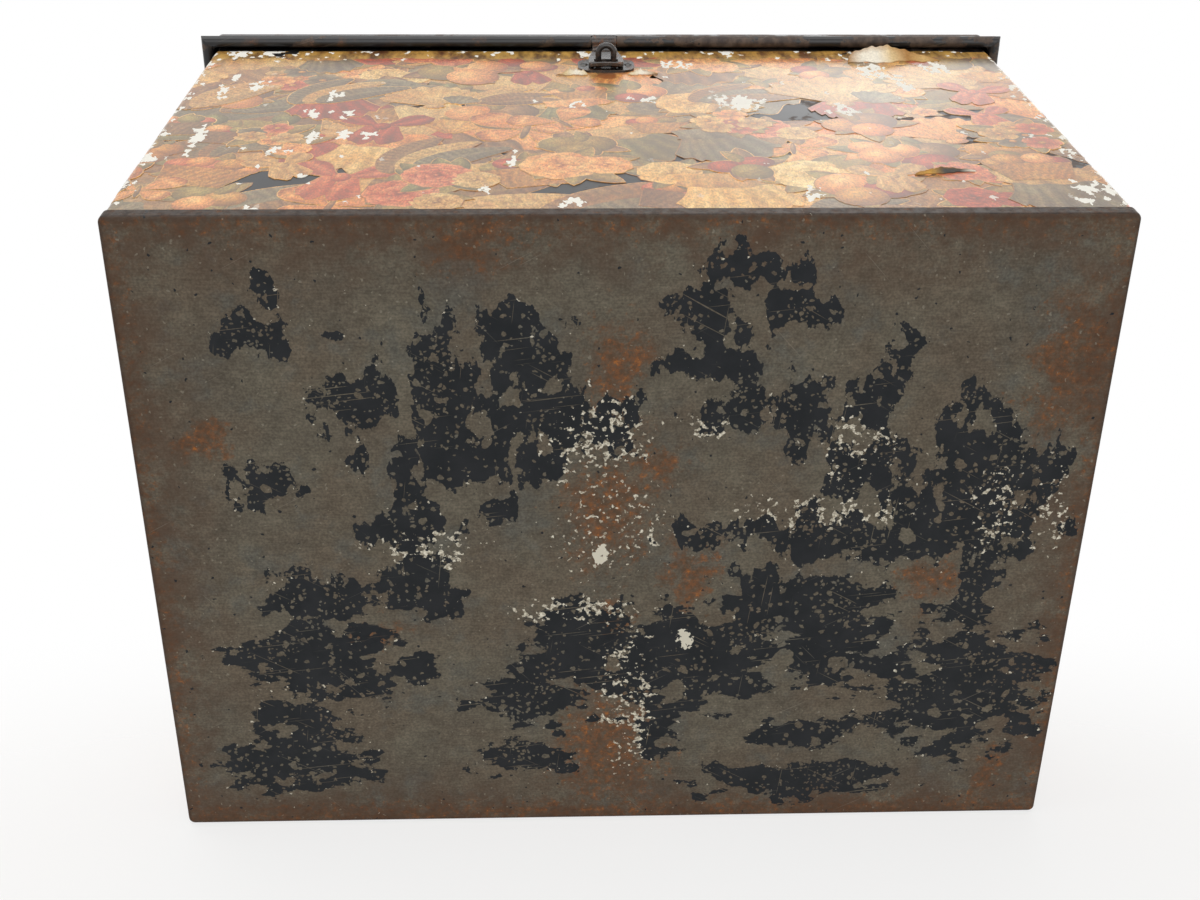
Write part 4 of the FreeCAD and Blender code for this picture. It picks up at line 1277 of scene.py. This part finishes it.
def varnished_print(name, chips, amber):
    """Printed paper under old varnish. chips is a function that says where paper has chipped."""
    material, tree, shader = new_material(name)
    place, at = place_in_mm(tree)
    colour = printed(tree, place)
    if amber:
        colour = under_lid(tree, place, at["Z"], colour)
    cells = use(tree, flake_cells, {"Place": place, "Size": 1.5})
    cell_at = add(tree, "SeparateXYZ", {0: cells["Cell"]}).outputs
    loose = maths(tree, "MULTIPLY_ADD", cells["Lot"], 0.5, chips(tree, cell_at["X"], at["Y"], cell_at["Z"]))
    torn = between(tree, loose, 0.249, 0.251)
    colour = mix(tree, torn, colour, linear(244, 241, 231))
    held = inverse(tree, torn)
    gloss = maths(tree, "MULTIPLY_ADD", held, -0.35, 0.85)
    cockle = noise(tree, scaled(tree, place, (0.09, 0.09, 0.05)), 1.0, 3.0)
    relief = maths(tree, "MULTIPLY_ADD", held, 0.25, maths(tree, "MULTIPLY", cockle, 1.6))
    varnish = maths(tree, "MULTIPLY", held, 0.8)
    wire_all(tree, {"Base Color": colour, "Roughness": gloss, "Coat Weight": varnish, "Coat Roughness": 0.2,
                    "Normal": bump_of(tree, relief, 0.3, 0.5), "Specular IOR Level": 0.25}, shader.inputs)
    return material


# %% Chipped paper: middle and reach, across and down, in the photograph
chips_seen = (
    (240, 53.5, 10, 4), (281, 52.4, 18, 3), (237, 77.3, 5, 6), (224, 91, 6, 5), (259, 86, 8, 4),
    (335, 94, 6, 5), (313, 113, 5, 4), (347, 114.6, 6, 4), (343, 134.5, 7, 5), (313, 137, 7, 5),
    (371, 134.5, 9, 3), (198, 135.7, 6, 9), (186, 152, 5, 4), (150, 159, 7, 3), (305, 178, 8, 4),
    (249, 208, 8, 2.5), (282, 150.6, 9, 2.5), (579, 104, 7, 2.5), (632, 98, 6, 2), (651, 99.7, 6, 4),
    (676, 65, 11, 4), (728, 52, 5, 3), (736, 101, 20, 6), (585, 54, 6, 3), (486, 189, 5, 4),
    (513, 162, 4, 4), (574, 202, 12, 4), (872, 71, 12, 7), (934, 67, 11, 6), (899, 81, 8, 4),
    (909, 87, 6, 3), (845, 110, 10, 5), (1029, 137, 4, 3), (1068, 152, 6, 5), (1094, 187, 22, 6),
    (816, 194, 10, 6), (1014, 87, 5, 4), (1085, 200, 8, 3))
paper_chips = [oval_seen(across_y, wrap_low.y, right - wide, down - tall, right + wide, down + tall)
               for right, down, wide, tall in chips_seen]
# Sound paper keeps all but the few flakes whose lot is nearly 1.
sound_paper = 0.2485


def wall_chips(tree, x, y, z):
    """Chips where they were seen on the front, and a few along the upright corners and under the lid."""
    spot = add(tree, "CombineXYZ", {0: x, 1: z}).outputs[0]
    on_front = maths(tree, "LESS_THAN", y, 1 - half_depth / mm)
    placed = between(tree, nearness(tree, spot, paper_chips), -0.7, 0.6, 0.0, 0.36)
    placed = maths(tree, "MULTIPLY", placed, on_front)
    high = between(tree, z, 168.0, 186.0, 0.0, 0.045)
    band = 6.0
    in_x = maths(tree, "SUBTRACT", maths(tree, "ABSOLUTE", x), half_width / mm - band)
    in_y = maths(tree, "SUBTRACT", maths(tree, "MULTIPLY", y, -1.0), half_depth / mm - band)
    corner = between(tree, maths(tree, "MINIMUM", in_x, in_y), 0.0, band, 0.0, 0.08)
    return joined(tree, "ADD", placed, high, maths(tree, "SUBTRACT", corner, sound_paper))


def lid_chips(tree, x, y, z):
    """More chips near the edge of the raised middle."""
    return between(tree, from_sides(tree, x, y, *lid_half.tolist()), 0.0, 12.0, -0.215, -sound_paper)


wall_print = varnished_print("varnished_wall_print", wall_chips, True)
lid_print = varnished_print("varnished_lid_print", lid_chips, False)
pasted = [(piece, wall_print, "box", "paper_wrap") for piece in wall_scraps]
for piece, finish, body, node in pasted + [(lid_scraps, lid_print, "lid", "lid_paper")]:
    piece.data.materials.append(finish)
    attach(piece, body)
    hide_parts(node)

# %% [markdown]
# ## Torn paper
# In a few places the paper has come away from the tin and curls forward. A curl is a strip of points
# that starts flat on the wall and bends round an arc as it leaves it. A Solidify modifier then gives it
# the thickness of several sheets stuck together.

# %% Torn paper finish
def torn_paper():
    """Soft unvarnished paper with fibres, in the tones held by the points."""
    material, tree, shader = new_material("torn_paper")
    place = place_in_mm(tree)[0]
    fibres = between(tree, noise(tree, place, 1.1, 6.0, 0.72), 0.3, 0.7, 0.8, 1.08)
    colour = shaded(tree, add(tree, "Attribute", {}, attribute_name="ink").outputs["Color"], fibres)
    wire_all(tree, {"Base Color": colour, "Normal": bump_of(tree, fibres, 0.15, 0.6), "Roughness": 0.9,
                    "Specular IOR Level": 0.1}, shader.inputs)
    return material


paper_finish = torn_paper()
print("finish:", paper_finish.name)

# %% Torn paper pieces
white_torn = (248, 240, 222)
cream_torn = (226, 204, 160)
ochre_torn = (178, 132, 80)
grey_torn = (92, 90, 86)


def torn_curl(name, start, end, reach, curl, peak, jagged, tones):
    """A curl of paper on the front wall. It is fixed along the line from start to end, (x, z) in
    millimetres, is reach long at its peak, bends off the wall by the angle curl, is torn as roughly as
    jagged says and has tones along it."""
    across = 61
    rows = 11
    u, v = grid(across, rows)
    swell = np.sin(np.pi * u ** (np.log(0.5) / np.log(peak))) ** 0.6
    ragged = 1 + jagged * (0.12 * np.sin(11 * u + reach) + 0.1 * np.sin(31 * u) + 0.07 * np.sin(67 * u + 2))
    length = reach * swell * ragged * v
    bend = curl / reach * length
    x = start[0] + (end[0] - start[0]) * u + 0.4 * np.sin(9 * u) * v
    root = 0.12 * reach * (np.sin(13 * u + start[0]) + 0.6 * np.sin(37 * u))
    z = start[1] + (end[1] - start[1]) * u + root * (1 - v) + reach * np.sin(bend) / curl
    crumple = 0.05 * reach * np.sin(17 * u + 4 * v) * np.sin(np.pi * v)
    off = 0.35 + reach * (1 - np.cos(bend)) / curl + np.abs(crumple) * swell
    points = np.column_stack((x, -half_depth / mm - off, z)) * mm
    shape = patch(np.column_stack((u, v)), v, "cream", across, 0)
    mesh = bpy.data.meshes.new(name)
    mesh.from_pydata(points.tolist(), [], shape["faces"])
    stops = np.linspace(0, 1, len(tones))
    brown_rim = np.clip((v - 0.72) / 0.28, 0, 1) * 0.55
    shades = [np.interp(u, stops, [linear(*tone_here)[part] for tone_here in tones]) * (1 - brown_rim)
              + linear(*ochre_torn)[part] * brown_rim for part in range(3)]
    print_inks(mesh, np.column_stack(shades))
    for face in mesh.polygons:
        face.use_smooth = True
    mesh.materials.append(paper_finish)
    curl_piece = put_in_scene(name, mesh)
    sheets = curl_piece.modifiers.new("sheets", "SOLIDIFY")
    sheets.thickness = 0.35 * mm
    sheets.offset = 0
    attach(curl_piece, "box")


torn_curl("torn_flap", (94, 168), (130, 171), 8.6, 1.2, 0.32, 0.35,
          (ochre_torn, white_torn, white_torn, (232, 204, 154), ochre_torn, (214, 176, 116), ochre_torn))
torn_curl("torn_sliver", (92.7, 36), (112.6, 39.7), 2.4, 1.1, 0.4, 0.5,
          (ochre_torn, (206, 160, 84), grey_torn, grey_torn, white_torn))
torn_curl("torn_bit_left", (-19, 150.8), (-7.4, 151.4), 3.6, 0.9, 0.6, 0.8,
          (ochre_torn, cream_torn, white_torn, cream_torn))
torn_curl("torn_bit_right", (8, 151), (19, 152), 3.0, 0.9, 0.4, 0.8, (cream_torn, white_torn, ochre_torn))
